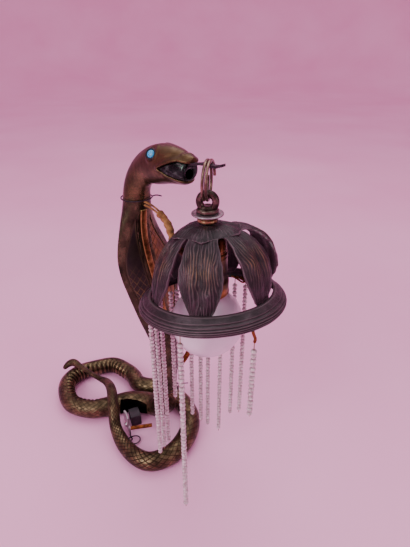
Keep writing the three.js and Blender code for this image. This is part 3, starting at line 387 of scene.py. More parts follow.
def carve(made, points, faces, operation="DIFFERENCE", lined=None):
    """Cuts a closed mesh of points in mm out of a piece; a lining material stays on the cut faces."""
    cutter = bpy.data.objects.new("cutter", closed_mesh("cutter", points, faces))
    cutter.data.materials.append(lined or made.data.materials[0])
    scene.collection.objects.link(cutter)
    cut = made.modifiers.new("cut", "BOOLEAN")
    cut.object, cut.operation, cut.solver, cut.material_mode = cutter, operation, "EXACT", "TRANSFER"
    apply_modifiers(made)
    bpy.data.objects.remove(cutter)


RIB_PITCH, RIB_HEIGHT, BELLY_SUNK, BELLY_HALF_ANGLE = 6.5, 2, 1.75, 58
SKIN_INSET, SCALE_LENGTH, SCALES_WORN = 0.12, 1.35, 0.4


def coiled_casting(name, route, sides, columns, ribs, chased):
    """Swept casting; ribs is (first place, last place, belly angle) on the route, or None.

    Scales are cut deep up to the place `chased` on the route and are worn faint after it."""
    rows, gone, where = even_rows(route, 0.8)
    belly = np.zeros((len(rows), sides))
    if ribs:
        first, last, centre = ribs
        away = np.abs((np.arange(sides) * 360 / sides - centre + 180) % 360 - 180)
        across = 1 / (1 + np.exp((away - BELLY_HALF_ANGLE) / 5))
        lengthwise = 1 / (1 + np.exp(-(where - first) * 6)) / (1 + np.exp((where - last) * 6))
        belly = lengthwise[:, None] * across[None, :]
    wave = np.abs(np.sin(math.pi * gone / RIB_PITCH))[:, None] ** 0.7
    relief = belly * (RIB_HEIGHT * wave - BELLY_SUNK) - SKIN_INSET
    relief = relief * np.clip(rows[:, 3] / 6, 0.2, 1)[:, None]
    points = sweep(rows, sides, relief)
    points[..., 2] = np.maximum(points[..., 2], 0)
    made = piece(name, points, skin_faces(len(rows), sides), chased_brass, "snake", "aged_brass")
    # Painted shade: the troughs between the belly ribs are marked for the brass to darken
    mark(made, "rib_trough_shade", (belly * (1 - wave) ** 0.7).ravel())
    step = np.gradient(gone) * columns / (2 * math.pi * np.maximum(rows[:, 3], 3) * SCALE_LENGTH)
    worn = SCALES_WORN * np.clip((where - chased) / 1.5, 0, 1)[:, None]
    mark_scales(made.data, np.cumsum(step), columns, np.clip(np.maximum(belly * 1.5, worn), 0, 1), sides)
    return made


coiled_casting("tail_casting", TAIL_ROUTE, 56, 12, None, 14)
coil = coiled_casting("coil_casting", COIL_ROUTE, 64, 13, (5.6, 13.6, 165), -2)

# The hollow of the rear casting, and the slot over it that the wiring is reached through; their cut faces are
# painted near black as shade
OPENING_LENGTH, OPENING_HEIGHT, OPENING_RISE, OPENING_TURN, CASTING_WALL = 34, 20, 0.8, -42, 2.6
hollow = even_rows([smooth_row(COIL_ROUTE, p) - (0, 0, 0, CASTING_WALL)
                    for p in (15.3, 15.9, 16.5, 17.1, 17.6)], 3)[0]
carve(coil, sweep(hollow, 24), skin_faces(len(hollow), 24), lined=painted_shade_casting)
x, y, z, r = smooth_row(COIL_ROUTE, 16.4)
corners = np.array([(x, y, z) for x in (-1, 1) for y in (-1, 1) for z in (-1, 1)], float) / 2
corners = corners * (OPENING_LENGTH, r * 1.6, OPENING_HEIGHT) + (0, -r * 0.8, 0)
corners = corners @ np.array(Matrix.Rotation(math.radians(OPENING_TURN), 3, "Z")).T + (x, y, z + OPENING_RISE)
carve(coil, corners, [(0, 1, 3, 2), (4, 6, 7, 5), (0, 4, 5, 1), (2, 3, 7, 6), (0, 2, 6, 4), (1, 5, 7, 3)],
      lined=painted_shade_casting)

# Upright body and hood
# A hollow brass casting: round at the foot, spread into a flat hood, and drawn in at the neck.
# Two leaf-shaped enamel panels and a raised throat strip are let into its front.
BODY_SECTIONS = [
    (66, 14, 9, 13.1, 13.1, 13.1, 0), (90, 14.5, 8, 13.3, 13.3, 13.3, 0),
    (112, 14.2, 6.5, 13.8, 13.4, 13.4, 0), (131, 13.2, 5, 15.5, 12.4, 12.8, 0.2),
    (150, 11, 3.6, 19.4, 11, 12, 0.4), (170, 8, 2.6, 23.4, 9.6, 11.4, 0.7),
    (190, 5, 2, 26.6, 8.6, 11, 0.9), (210, 1.4, 1.4, 28.8, 8, 10.6, 1),
    (228, -2.6, 1.1, 29.4, 7.6, 10.4, 1), (244, -5.8, 1.1, 28, 7.6, 10.4, 1),
    (257, -8, 1.2, 24.6, 8, 10.4, 0.9), (268, -9.4, 1.4, 20.6, 8.8, 10.6, 0.7),
    (280, -9.8, 1.7, 16.6, 10, 11, 0.4), (290, -9.4, 1.9, 13.4, 11.2, 11.6, 0.15),
    (299, -8.6, 2, 12, 12, 12, 0)]
BODY_FOOT, BODY_TOP, BODY_SIDES = 66.3, 299.15, 112
BODY_SCALE, BODY_SCALES_ROUND, BODY_SCALES_WORN = 8.5, 14, 0.7
PANEL_TOP, PANEL_FOOT, HOOD_BORDER, THROAT_CHANNEL = 284, 168, 4.6, 6.4
STRIP_WIDTH, STRIP_TOP, STRIP_FOOT, INLAY_DEPTH, SEAT_GAP = 6, 291, 160, 1.8, 0.3


def body_section(z):
    """Height, centre x and y, half width, front and back depth and flatness of the body at a height."""
    heights = [row[0] for row in BODY_SECTIONS]
    i = min(max(int(np.searchsorted(heights, z, side="right")) - 1, 0), len(heights) - 2)
    return smooth_row(BODY_SECTIONS, i + (z - heights[i]) / (heights[i + 1] - heights[i]))


def body_front(x, z, grow=0.0):
    """Depth of the hood's front face at x and z."""
    _, cx, cy, half, front, _, lens = body_section(z)
    sine = math.sqrt(max(1 - ((x - cx) / (half + grow)) ** 2, 0))
    return cy - (front + grow) * sine ** (1 + 0.55 * lens)


# Olive brass: a darker, greener copy of the chased brass for the upright; the dark is painted shade on its
# upright faces and the green offsets the pink the floor reflects onto them; smooth, with a greenish brown
# sheen
shaded_olive_brass = weathered_metal("olive brass, shaded copy", "#26241a", "#454230", "#6d684a", roughness=0.27, mottle=16.67,
                              scaled=True)
heights = np.linspace(BODY_FOOT, BODY_TOP, 240)
angle = turns(BODY_SIDES)
sine = np.sin(angle)
rings = []
for z in heights:
    _, cx, cy, half, front, back, lens = body_section(z)
    deep = np.sign(sine) * np.abs(sine) ** (1 + 0.55 * lens)
    depth = np.where(deep < 0, front, back)
    rings.append(np.stack([cx + half * np.cos(angle), cy + depth * deep, np.full(BODY_SIDES, z)], -1))
upright = piece("body_casting", rings, skin_faces(len(rings), BODY_SIDES), shaded_olive_brass, "snake", "aged_brass")
plain = np.clip(-sine * 2.2, 0, 1)[None, :] * np.clip((heights - 140) / 25, 0, 1)[:, None]
mark_scales(upright.data, (heights - 66) / BODY_SCALE, BODY_SCALES_ROUND, np.maximum(plain, BODY_SCALES_WORN),
            BODY_SIDES)


def panel_edges(side, z):
    """Inner and outer edge of a hood panel at a height."""
    rows = 12
    i = (z - PANEL_FOOT) / (PANEL_TOP - PANEL_FOOT) * rows
    _, cx, _, half, _, _, _ = body_section(z)
    full = max(math.sin(math.pi * (i + 0.12) / (rows + 0.24)), 0) ** 0.45
    reach = max((half - HOOD_BORDER - THROAT_CHANNEL) * full, 1.6)
    return cx + side * THROAT_CHANNEL, cx + side * (THROAT_CHANNEL + reach)


def strip_edges(z, gap=0.0):
    """Left and right edge of the throat strip at a height."""
    centre = body_section(z)[1]
    return centre - STRIP_WIDTH / 2 - gap, centre + STRIP_WIDTH / 2 + gap


def recess(edges, zs):
    """Cuts a recess between two edges into the hood; its floor follows the front at an even depth."""
    pairs = [edges(z) for z in zs]
    outline = [(a, z) for (a, _), z in zip(pairs, zs)] + [(b, z) for (_, b), z in zip(pairs, zs)][::-1]
    count = len(outline)
    points = [(x, -40, z) for x, z in outline] + [(x, body_front(x, z, -INLAY_DEPTH), z) for x, z in outline]
    strips = [(i, i + 1, count - 2 - i, count - 1 - i) for i in range(len(zs) - 1)]
    carve(upright, points, strips + [tuple(count + v for v in reversed(s)) for s in strips]
          + [(i, (i + 1) % count, count + (i + 1) % count, count + i) for i in range(count)])


for side in (-1, 1):
    recess(lambda z: panel_edges(side, z), np.linspace(PANEL_FOOT, PANEL_TOP, 60))
recess(lambda z: strip_edges(z, SEAT_GAP), np.linspace(STRIP_FOOT - SEAT_GAP, STRIP_TOP + SEAT_GAP, 60))


def plate_faces(rows, columns):
    """Faces of a curved plate: a front grid of points, a back grid after it, and the edge between."""
    wide, count = columns + 1, (rows + 1) * (columns + 1)
    faces = []
    for i in range(rows):
        for k in range(columns):
            a = i * wide + k
            faces += [(a, a + 1, a + wide + 1, a + wide),
                      (count + a, count + a + wide, count + a + wide + 1, count + a + 1)]
    rim = ([i * wide for i in range(rows + 1)] + [rows * wide + k for k in range(1, wide)]
           + [i * wide + columns for i in range(rows - 1, -1, -1)] + list(range(columns - 1, 0, -1)))
    return faces + [(a, b, count + b, count + a) for a, b in zip(rim, rim[1:] + rim[:1])]


def inlay(edges, zs, columns, grow, thickness, relief):
    """Curved plate between two edges over heights zs, which stands out of the hood's front by `grow`."""
    front, back = [], []
    for z in zs:
        inner, outer = edges(z)
        for k in range(columns + 1):
            x = inner + (outer - inner) * k / columns
            y = body_front(x, z, grow)
            front.append((x, y - (relief(x, z) if 0 < k < columns else 0), z))
            back.append((x, y + thickness, z))
    return front + back, plate_faces(len(zs) - 1, columns)


NET_WIDE, NET_TALL, NET_WORN_FROM, NET_WORN_TO, EDGE_WIDTH = 6.4, 9.5, 214, 240, 1.8


def net_height(x, z):
    """Height of the raised net of the panels, in diamonds."""
    u, v = z / NET_TALL, x / NET_WIDE
    p, q = abs((u + v) % 1 - 0.5), abs((u - v) % 1 - 0.5)
    return 0.35 * min(max((max(p, q) - 0.38) / 0.08, 0), 1)


def net_worn(z):
    """How far the net is worn away at a height: 0 whole, 1 gone."""
    return min(max((z - NET_WORN_FROM) / (NET_WORN_TO - NET_WORN_FROM), 0), 1)


def enamel(name, ground, depth, line, border):
    """Old enamel on a chased ground: glossy, brown to black, with a raised net and a brass edge."""
    material, tree, surface, _, clouds, tone = mottled(
        name, 9.09, 6, [(0.35, depth), (0.62, ground)], Metallic=0.35, Roughness=0.34)
    worn = add(tree, "Math", {0: lattice(tree, 0.38), 1: add(tree, "MapRange", {0: clouds, 1: 0.38, 2: 0.6})},
               operation="MULTIPLY")
    tone = add(tree, "MixRGB", {0: worn, 1: tone, 2: line})
    edge = add(tree, "Attribute", attribute_name="edge", out="Fac")
    add(tree, "MixRGB", {0: edge, 1: tone, 2: border}, to=surface["Base Color"])
    add(tree, "Bump", {"Height": clouds, "Distance": 0.0003, "Strength": 0.6}, to=surface["Normal"])
    return material


for side, label, material, slot in (
        (-1, "left", enamel("black-brown enamel", "#27231a", "#100d09", "#6e5c30", "#4b422c"), "dark_enamel"),
        (1, "right", enamel("chestnut enamel", "#8c6431", "#553b1c", "#221a10", "#7a6238"), "brown_enamel")):
    def edges(z):
        inner, outer = panel_edges(side, z)
        return inner + side * SEAT_GAP, outer - side * SEAT_GAP

    # On the left the net is worn away from the upper half
    points, faces = inlay(edges, np.linspace(PANEL_FOOT + SEAT_GAP, PANEL_TOP - SEAT_GAP, 190), 40, -0.8, 0.9,
                          lambda x, z: net_height(x, z) * (1 - net_worn(z) * (side < 0)))
    panel = piece(f"hood_panel_{label}", points, faces, material, "snake", slot)
    mark(panel, "skin", [(z / NET_TALL, x / NET_WIDE, net_worn(z) if side < 0 else 0.2)
                         for x, _, z in points])
    away = [min(abs(x - e) for e in edges(z)) for x, _, z in points]
    mark(panel, "edge", np.clip(EDGE_WIDTH - np.array(away, np.float32), 0, 1))


def strip_relief(x, z):
    """The throat strip is domed across and has low ribs 7 mm apart."""
    return 0.18 - 0.03 * (x - body_section(z)[1]) ** 2 + 0.16 * abs(math.sin(z * 0.45))


# Rubbed brass: orange brown, gold along the ridges that hands have polished
rubbed_brass = weathered_metal("rubbed brass", "#33240f", "#7c5c30", "#b0935c", roughness=0.3, mottle=11.11)
points, faces = inlay(strip_edges, np.linspace(STRIP_FOOT, STRIP_TOP, 220), 8, 0.7, 2.1, strip_relief)
piece("throat_strip", points, faces, rubbed_brass, "snake", "worn_brass")

# Head
# The head and neck are one brass casting with an open mouth, rolled lips, a brow over each
# eye and two nostrils, and a ridged lining in the mouth. The crown is rubbed browner.
HEAD_SECTIONS = [
    (-8.6, 2, 299.3, 0, 12, 12, 12), (-7.9, 1.8, 307, 6, 11.4, 11.4, 12),
    (-6.2, -0.3, 315, 20, 11.2, 11.8, 12.6), (-4, -5, 321.5, 40, 11.6, 12.8, 13.2),
    (-2.2, -11.5, 326.5, 58, 12.4, 13.8, 14.2), (-0.8, -19.5, 330, 74, 13.4, 14.8, 15.8),
    (0, -28, 332.3, 82, 13.8, 15, 16.4), (0.4, -36, 333.8, 86, 13.6, 14.2, 16),
    (0.6, -43.5, 334.8, 86, 12.6, 12.8, 15.6), (0.8, -50.5, 335.4, 86, 11.2, 11, 15.2),
    (1, -56.5, 335.8, 86, 9.6, 9.2, 14.4), (1, -60.6, 336.6, 86, 7.8, 7.8, 12),
    (1, -63.6, 338.6, 86, 5.4, 5.4, 7.4), (1, -65.4, 341, 86, 2.4, 2.4, 2.6)]
MOUTH_CORNER = (-37.5, 331.9)
UPPER_LIP = [(-44, 335.2), (-52, 338.6), (-56.5, 339.8), (-60, 339.3), (-64, 338.7), (-90, 338.7)]
LOWER_LIP = [(-90, 324.5), (-61, 324.9), (-54, 326), (-48, 327.4), (-42, 329.6)]
BROW = [(-19, 345.4), (-28, 346.2), (-37, 344.8)]
NOSTRIL_SPREAD, NOSTRIL_FORWARD, NOSTRIL_HEIGHT = 3.4, -58.5, 344.4
LIPS_FROM, LIPS_FADE, LID_RADIUS, EYE_SEAT_RADIUS, EYE_SEAT_DEPTH = -34, 6, 5.6, 4.3, 3.6
EYE_STATION, EYE_RISE, CHEEK_HALF, EYE_SIDES, HEAD_SIDES = 6.13, 8.4, 11.4, 48, 84
CHEEK_CENTRE, EYE_FORWARD, EYE_HEIGHT = smooth_row(HEAD_SECTIONS, EYE_STATION)[:3] + (0, 0, EYE_RISE)


def distance_to(line, y, z):
    """Distance from a point to a line of y, z corners."""
    best = 1e9
    for (y0, z0), (y1, z1) in zip(line, line[1:]):
        run = (y1 - y0) ** 2 + (z1 - z0) ** 2
        t = min(max(((y - y0) * (y1 - y0) + (z - z0) * (z1 - z0)) / run, 0), 1)
        best = min(best, math.hypot(y - y0 - t * (y1 - y0), z - z0 - t * (z1 - z0)))
    return best


def lip_distances(y, z):
    """Distances from a point to the upper and to the lower lip."""
    return (distance_to([MOUTH_CORNER] + UPPER_LIP, y, z),
            distance_to([MOUTH_CORNER] + LOWER_LIP[::-1], y, z))


def bump(distance, width):
    """A smooth ridge: 1 at no distance, near 0 beyond two widths."""
    return math.exp(-(distance / width) ** 2)


def head_relief(x, y, z):
    """Lips, brows and nostrils that stand out of the smooth head."""
    rise = 0.0
    if y < LIPS_FROM:
        upper, lower = lip_distances(y, z)
        lips = 0.8 * bump(upper - 1, 1.2) + 0.7 * bump(lower - 1, 1.2) - 0.5 * bump(upper - 4.6, 1.5)
        rise += min((LIPS_FROM - y) / LIPS_FADE, 1) * lips
    for side in (-1, 1):
        if side * (x - CHEEK_CENTRE) > 4:
            rise += 0.35 * bump(distance_to(BROW, y, z), 2.6)
            rise += 0.5 * bump(math.hypot(y - EYE_FORWARD, z - EYE_HEIGHT) - LID_RADIUS, 1.2)
        nostril = math.dist((x, y, z), (1 + side * NOSTRIL_SPREAD, NOSTRIL_FORWARD, NOSTRIL_HEIGHT))
        rise += 1.3 * bump(nostril, 2.8) - 1.2 * bump(nostril, 0.9)
    return rise


def side_prism(outline, width=60):
    """Block with an outline of y, z corners, as wide as given across the head."""
    count = len(outline)
    points = [(side * width / 2, y, z) for side in (-1, 1) for y, z in outline]
    faces = [list(range(count)), list(range(2 * count - 1, count - 1, -1))]
    return points, faces + [(i, (i + 1) % count, count + (i + 1) % count, count + i) for i in range(count)]


def mouth_outline(gap):
    """Open mouth from the side, y and z, grown by a gap."""
    return ([(MOUTH_CORNER[0] - 2 * gap, MOUTH_CORNER[1])] + [(y, z - gap) for y, z in UPPER_LIP]
            + [(y, z + gap) for y, z in LOWER_LIP])


def eye_points(profile, side):
    """Rings of a turned piece that stands square to the cheek; the profile is radius and height."""
    axis = Vector((side * 0.78, -0.34, 0.5)).normalized()
    spin = np.array(Vector((0, 0, 1)).rotation_difference(axis).to_matrix())
    centre = (CHEEK_CENTRE + side * CHEEK_HALF, EYE_FORWARD, EYE_HEIGHT)
    return np.array([[spin @ (r * math.cos(t), r * math.sin(t), z) + centre for t in turns(EYE_SIDES)]
                     for r, z in profile])


# Cast brass of the head: smooth, dark olive below, warm brown over the crown
head_brass = weathered_metal("cast brass head", "#2b281c", "#4d4732", "#756847", roughness=0.29, mottle=16.67,
                             handled=(0.322, 0.346, "#5c402a"))
rings = []
last = len(HEAD_SECTIONS) - 1
for position in np.linspace(0, last, last * 11 + 1):
    x, y, z, lean, width, over, under = smooth_row(HEAD_SECTIONS, position)
    up = np.array((0, math.cos(math.radians(lean)), math.sin(math.radians(lean))))
    ring = []
    for a in turns(HEAD_SIDES):
        depth = over if math.sin(a) > 0 else under
        offset = np.array((width * math.cos(a), 0, 0)) + up * depth * math.sin(a)
        point = np.array((x, y, z)) + offset
        ring.append(point + offset / np.linalg.norm(offset) * head_relief(*point))
    rings.append(ring)
head = piece("head_casting", rings, skin_faces(len(rings), HEAD_SIDES), head_brass, "snake", "worn_brass")
carve(head, *side_prism(mouth_outline(0)))
for side in (-1, 1):
    seat = [(EYE_SEAT_RADIUS, -EYE_SEAT_DEPTH), (EYE_SEAT_RADIUS, 8)]
    carve(head, eye_points(seat, side), skin_faces(2, EYE_SIDES))
remesh = head.modifiers.new("casting skin", "REMESH")
remesh.mode, remesh.voxel_size, remesh.use_smooth_shade = "VOXEL", 0.00045, True
soften = head.modifiers.new("fettled edges", "SMOOTH")
soften.factor, soften.iterations = 0.5, 3
apply_modifiers(head)
head.data.shade_smooth()

# Mouth lining: a ridged grey-green insert with the bore for the wires
LINING_SECTIONS = [(-36, 331.6, 11.8, 9), (-44, 332, 11.4, 9), (-52, 332.4, 10.2, 8.8),
                   (-58, 332.8, 8.8, 8.4), (-61.4, 333, 7.8, 8), (-62.6, 333, 6.8, 7)]
LINING_RIDGE, LINING_SIDES, LINING_LIP = 2.1, 72, -61
THROAT_BORE, BORE_PLACE, BORE_DEPTH, BORE_TILT = 7.6, (-1, -62.6, 330.6), 13, 7
TONGUE_TOP = [(-54, 336.1), (-62, 338.4), (-70, 340.2)]
TONGUE_WIDTH, TONGUE_THICKNESS = 4.8, 1.8
# Verdigris lining: polished and grey-green on the ridges, black between them
lining_metal, tree, surface, _, clouds, _ = mottled(
    "verdigris lining", 5, 5, [(0.35, "#0c0f0f"), (0.55, "#232d29"), (0.72, "#566a5e")],
    Metallic=0.75, Roughness=0.26)
add(tree, "Bump", {"Height": clouds, "Distance": 0.0003}, to=surface["Normal"])
rings = []
for position in np.linspace(0, len(LINING_SECTIONS) - 1, 70):
    y, z, half_width, half_height = smooth_row(LINING_SECTIONS, position)
    ring = []
    for a in turns(LINING_SIDES):
        rise = -0.2
        if y > LINING_LIP:
            near = min(lip_distances(y, z + half_height * math.sin(a)))
            rise = 0.9 * abs(math.sin(math.pi * near / LINING_RIDGE)) ** 0.8 - 0.85
        ring.append(((half_width + rise) * math.cos(a), y, z + (half_height + rise) * math.sin(a)))
    rings.append(ring)
lining = piece("mouth_lining", rings, skin_faces(len(rings), LINING_SIDES), lining_metal, "snake",
               "grey_lining")
carve(lining, *side_prism(mouth_outline(SEAT_GAP)), operation="INTERSECT")
channel = ([(y, z + 1) for y, z in TONGUE_TOP]
           + [(y, z - TONGUE_THICKNESS - SEAT_GAP) for y, z in TONGUE_TOP[::-1]])
carve(lining, *side_prism(channel, TONGUE_WIDTH + 2 * SEAT_GAP))
bore = [[(BORE_PLACE[0] + THROAT_BORE / 2 * math.cos(t), BORE_PLACE[1] + run,
          BORE_PLACE[2] + run * math.tan(math.radians(BORE_TILT)) + THROAT_BORE / 2 * math.sin(t))
         for t in turns(48)] for run in (-5, BORE_DEPTH)]
# The bore's wall is painted near black as the shade inside it
carve(lining, bore, skin_faces(2, 48), lined=painted_shade_casting)

# Blackened iron of the bezels: dull, near black, greyer on the edges
black_iron = weathered_metal("blackened iron", "#0d0c10", "#231f24", "#4a4248", roughness=0.5, mottle=8.33)
# Turquoise, cut as a cabochon: sky blue and glossy, with a fine darker web
turquoise, tree, surface, spot = new_material("turquoise", Roughness=0.22)
vein = add(tree, "TexVoronoi", {"Vector": spot, "Scale": every(1.43)}, feature="DISTANCE_TO_EDGE")
add(tree, "ValToRGB", {"Fac": vein}, [(0.0, "#1c5f86"), (0.12, "#3aa8d8"), (0.6, "#58c0e4")],
    to=surface["Base Color"])
BEZEL = [(0.01, -3), (4, -3), (4, 0), (4.7, 0.1), (4.75, 0.7), (4.4, 1.1), (3.9, 1.25), (3.4, 1.05),
         (3.4, -0.5), (0.01, -0.5)]
STONE_RADIUS = 3.1
STONE = [(0.01, -0.2), (STONE_RADIUS, -0.2), (STONE_RADIUS, 0.55)] + [
    (STONE_RADIUS * math.cos(t), 0.6 + 1.35 * math.sin(t)) for t in np.linspace(0.1, 1.54, 9)]
for side, label in ((-1, "left"), (1, "right")):
    for name, profile, material, slot in ((f"eye_bezel_{label}", BEZEL, black_iron, "black_iron"),
                                          (f"eye_stone_{label}", STONE, turquoise, "turquoise_stone")):
        piece(name, eye_points(profile, side), skin_faces(len(profile), EYE_SIDES), material, "snake", slot)

# Tongue
# A forked strip of black iron, filed flat. It leaves the roof of the mouth, where it lies in a
# channel of the lining, and carries the ring.
def dress(name, material, worn=0.0, segments=2):
    """A CAD piece that shows as it is, in its material, with its edges worn round by some mm."""
    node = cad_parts[name]
    node.data.materials.clear()
    node.data.materials.append(material)
    if worn:
        edge = node.modifiers.new("worn edges", "BEVEL")
        edge.width, edge.segments, edge.limit_method = worn * 0.001, segments, "ANGLE"
    return node


dress("tongue", black_iron, worn=0.4, segments=3)

# Tie wires
# Soft black iron wire, wound once round the neck joint and once round the foot of the upright,
# with its twisted end standing out.
TIE_WIRE, TIE_START, TIE_TURN, TIE_POINTS, TIE_CLIMB = 1.1, -20, 345, 14, 1.2


def tie_wire(name, x, y, z, radius, stands_out, slant):
    """One turn of wire round a piece, sunk on one side by the slant, and its loose end."""
    loop = radius + SEAT_GAP + TIE_WIRE
    points = []
    for i in range(TIE_POINTS + 1):
        a = math.radians(TIE_START + TIE_TURN * i / TIE_POINTS)
        points.append((x + loop * math.cos(a), y + loop * math.sin(a),
                       z - slant * math.cos(a - math.radians(50)) + TIE_CLIMB * i / TIE_POINTS))
    ex, ey, ez = points[-1]
    for reach, bend, drop in ((4, 0.6, 0), (stands_out, 0.3, 1)):
        points.append((ex + reach * math.cos(a + bend), ey + reach * math.sin(a + bend), ez - drop))
    tube(name, [(*p, TIE_WIRE / 2) for p in points], black_iron, "snake", "black_iron", step=0.5, sides=12)


tie_wire("neck_tie_wire", -8.4, 2.1, 298.4, 12.2, 8, 0)
tie_wire("foot_tie_wire", 14, 9, 62, 13.3, 12, 2.4)

# Split ring and suspension
# A two-turn brass ring hangs on the tongue and carries a cast loop on a turned collar, a
# washer, a locknut and a threaded steel nipple.
RING_MEAN, RING_WIRE, RING_PITCH, RING_TURNS, RING_Z = 13.75, 2.2, 2.45, 2, 330.25
RING_TURN = math.radians(38.5)
ring_way = np.array((math.cos(RING_TURN), math.sin(RING_TURN), 0))
ring_axis = np.array((-ring_way[1], ring_way[0], 0))
up = np.array((0, 0, 1))
# Drawn brass wire: smooth and grey-brown, pale along the outside where it rubs
ring_brass = weathered_metal("drawn brass wire", "#2c211d", "#5f4c42", "#967e6c", roughness=0.3, mottle=7.69)
points = []
for t in np.linspace(0, 1, 193):
    a = 2 * math.pi * RING_TURNS * t
    turn = RING_MEAN * (ring_way * math.cos(a) + up * math.sin(a))
    along = ring_axis * RING_PITCH * RING_TURNS * (t - 0.5)
    points.append((*(np.array((0, LAMP_Y, RING_Z)) + turn + along), RING_WIRE / 2))
piece("split_ring", sweep(np.array(points), 20), skin_faces(len(points), 20), ring_brass, "ring",
      "aged_brass")


def ring_faces(count, sides):
    """Quads over a stack of closed rings whose last ring meets the first."""
    last = (count - 1) * sides
    return skin_faces(count, sides)[:-2] + [
        (last + j, last + (j + 1) % sides, (j + 1) % sides, j) for j in range(sides)]


def turned(name, foot, profile, material, slot, sides, body="lantern", faces=ring_faces, nodes=None):
    """A turned piece on the lamp axis; the profile is radius and height over its foot."""
    rings = [[(r * math.cos(t), LAMP_Y + r * math.sin(t), foot + z) for t in turns(sides)]
             for r, z in profile]
    return piece(name, rings, faces(len(profile), sides), material, body, slot, nodes)


# Dark cast brass of the loop: brown-black, with pinkish brown rubs
dark_brass = weathered_metal("dark cast brass", "#151110", "#392e2a", "#76645a", roughness=0.3, mottle=6.67)
LOOP_MEAN, LOOP_WIRE, LOOP_Z, LOOP_TURNS, LOOP_SIDES = 6, 5, 314.82, 72, 32
a, b = np.meshgrid(turns(LOOP_TURNS), turns(LOOP_SIDES), indexing="ij")
reach = LOOP_MEAN + LOOP_WIRE * 0.54 * np.cos(b)
points = (np.array((0, LAMP_Y, LOOP_Z)) + ring_axis * (reach * np.cos(a))[..., None]
          + up * (reach * np.sin(a))[..., None] + ring_way * (LOOP_WIRE * 0.64 * np.sin(b))[..., None])
piece("eye_finial", points, ring_faces(LOOP_TURNS, LOOP_SIDES), dark_brass, "lantern", "aged_brass")
COLLAR = [(5.4, 0.05), (7.7, 0), (8.1, 0.4), (8.25, 1), (8.25, 2.1), (8, 2.6), (7.2, 3.1), (6.8, 3.3),
          (5.8, 3.6), (5.2, 4.1), (4.6, 5), (3.6, 5.3), (0.01, 5.3), (0.01, 3.3), (5.4, 3.3)]
turned("finial_collar", 306.9, COLLAR, dark_brass, "aged_brass", 64, nodes=["eye_finial"])

# Zinc plated steel, gone dull: pale grey with darker, warmer stains
bright_steel = weathered_metal("zinc plated steel", "#453e42", "#82777d", "#b5a9ae", mottle=5.56)
HOLE = 5.35
WASHER = [(HOLE, 0), (11.4, 0), (11.8, 0.2), (12, 0.5), (12, 1), (11.8, 1.3), (11.3, 1.5), (HOLE, 1.5)]
turned("washer", 305.1, WASHER, bright_steel, "zinc_steel", 96)

# Turned brass of the nut: the brightest metal here, yellow-brown
nut_brass = weathered_metal("bright brass nut", "#3c2b1c", "#7d6445", "#b89c70", roughness=0.3, mottle=5)
LOCKNUT = [(HOLE, 0), (7.2, 0), (7.6, 0.3), (7.75, 0.6), (7.75, 1.7), (7.5, 2.1), (7.5, 2.8), (7.75, 3.2),
           (7.75, 4.4), (7.55, 4.8), (7.2, 5), (HOLE, 5)]
turned("locknut", 299.8, LOCKNUT, nut_brass, "worn_brass", 96)

NIPPLE_FOOT, NIPPLE_LENGTH, NIPPLE_BORE, THREAD_ROOT, THREAD_CREST, THREAD = 285.65, 24.25, 3.5, 4.55, 5, 1
profile = [(NIPPLE_BORE, 0)]
for k in range(int(NIPPLE_LENGTH / THREAD)):
    profile += [(THREAD_ROOT, k * THREAD), (THREAD_CREST, (k + 0.5) * THREAD)]
profile += [(THREAD_ROOT, NIPPLE_LENGTH - 0.1), (4.4, NIPPLE_LENGTH), (NIPPLE_BORE, NIPPLE_LENGTH)]
turned("threaded_nipple", NIPPLE_FOOT, profile, bright_steel, "zinc_steel", 48)

# Lampholder
# A pressed brass cap and a body with a flared skirt hold a porcelain insert. The brass has
# kept dark lacquer, and shows orange where heat has bared it.
holder_brass = weathered_metal("lacquered brass holder", "#2b2616", "#625531", "#946d38", roughness=0.33,
                               mottle=14.29)
HOLDER_CAP = [
    (5.3, 18.6), (7.7, 18.6), (7.9, 13.6), (9.2, 12.4), (11, 11.6), (13.2, 9.6), (14.4, 6.6), (14.8, 4.5),
    (15, 2.6), (15, 2), (14.7, 1.7), (15, 1.4), (15, 0), (13.8, 0), (13.8, 6), (10, 10.2), (5.3, 12.2)]
HOLDER_BODY = [
    (15, 35.7), (15.5, 35.2), (15.8, 34.2), (15.5, 33.4), (15.5, 32.2), (15.8, 31.6), (15.5, 31), (15.6, 21),
    (15.7, 15), (16, 13), (16.7, 11.6), (17, 10.6), (17, 2.4), (17.2, 1.4), (17.5, 1), (17.45, 0.3),
    (17.2, 0), (15.8, 0), (15.8, 10), (14.6, 13.4), (14.6, 34.3), (13.8, 35.7)]
turned("holder_cap", 277, HOLDER_CAP, holder_brass, "worn_brass", 80)
turned("holder_body", 241, HOLDER_BODY, holder_brass, "worn_brass", 80)
# Glazed porcelain: cream white, with a hard gloss and faint yellow stains
glazed_porcelain = mottled("glazed porcelain", 8.33, 4, [(0.3, "#c9c0ae"), (0.6, "#e3dccd")],
                           Roughness=0.22)[0]
dress("holder_insert", glazed_porcelain).data.shade_smooth()

# Bulb
# An old pear-shaped bulb of opal glass, blown thin. Its neck is cemented in a rolled aluminium
# screw cap with a contact at its end, and the bulb turns in the lampholder.
BULB_RADIUS, BULB_CENTRE, NECK, GLASS_TOP, GLASS_WALL = 30, 211, 12, 258.7, 1
# Opal glass: milky, lets a little light through, with a soft gloss
opal_glass = mottled("opal glass", 22.22, 3, [(0.3, "#dcd2dc"), (0.7, "#ece6ee")], Roughness=0.28,
                     Coat_Weight=0.6, Coat_Roughness=0.08, Transmission_Weight=0.12)[0]


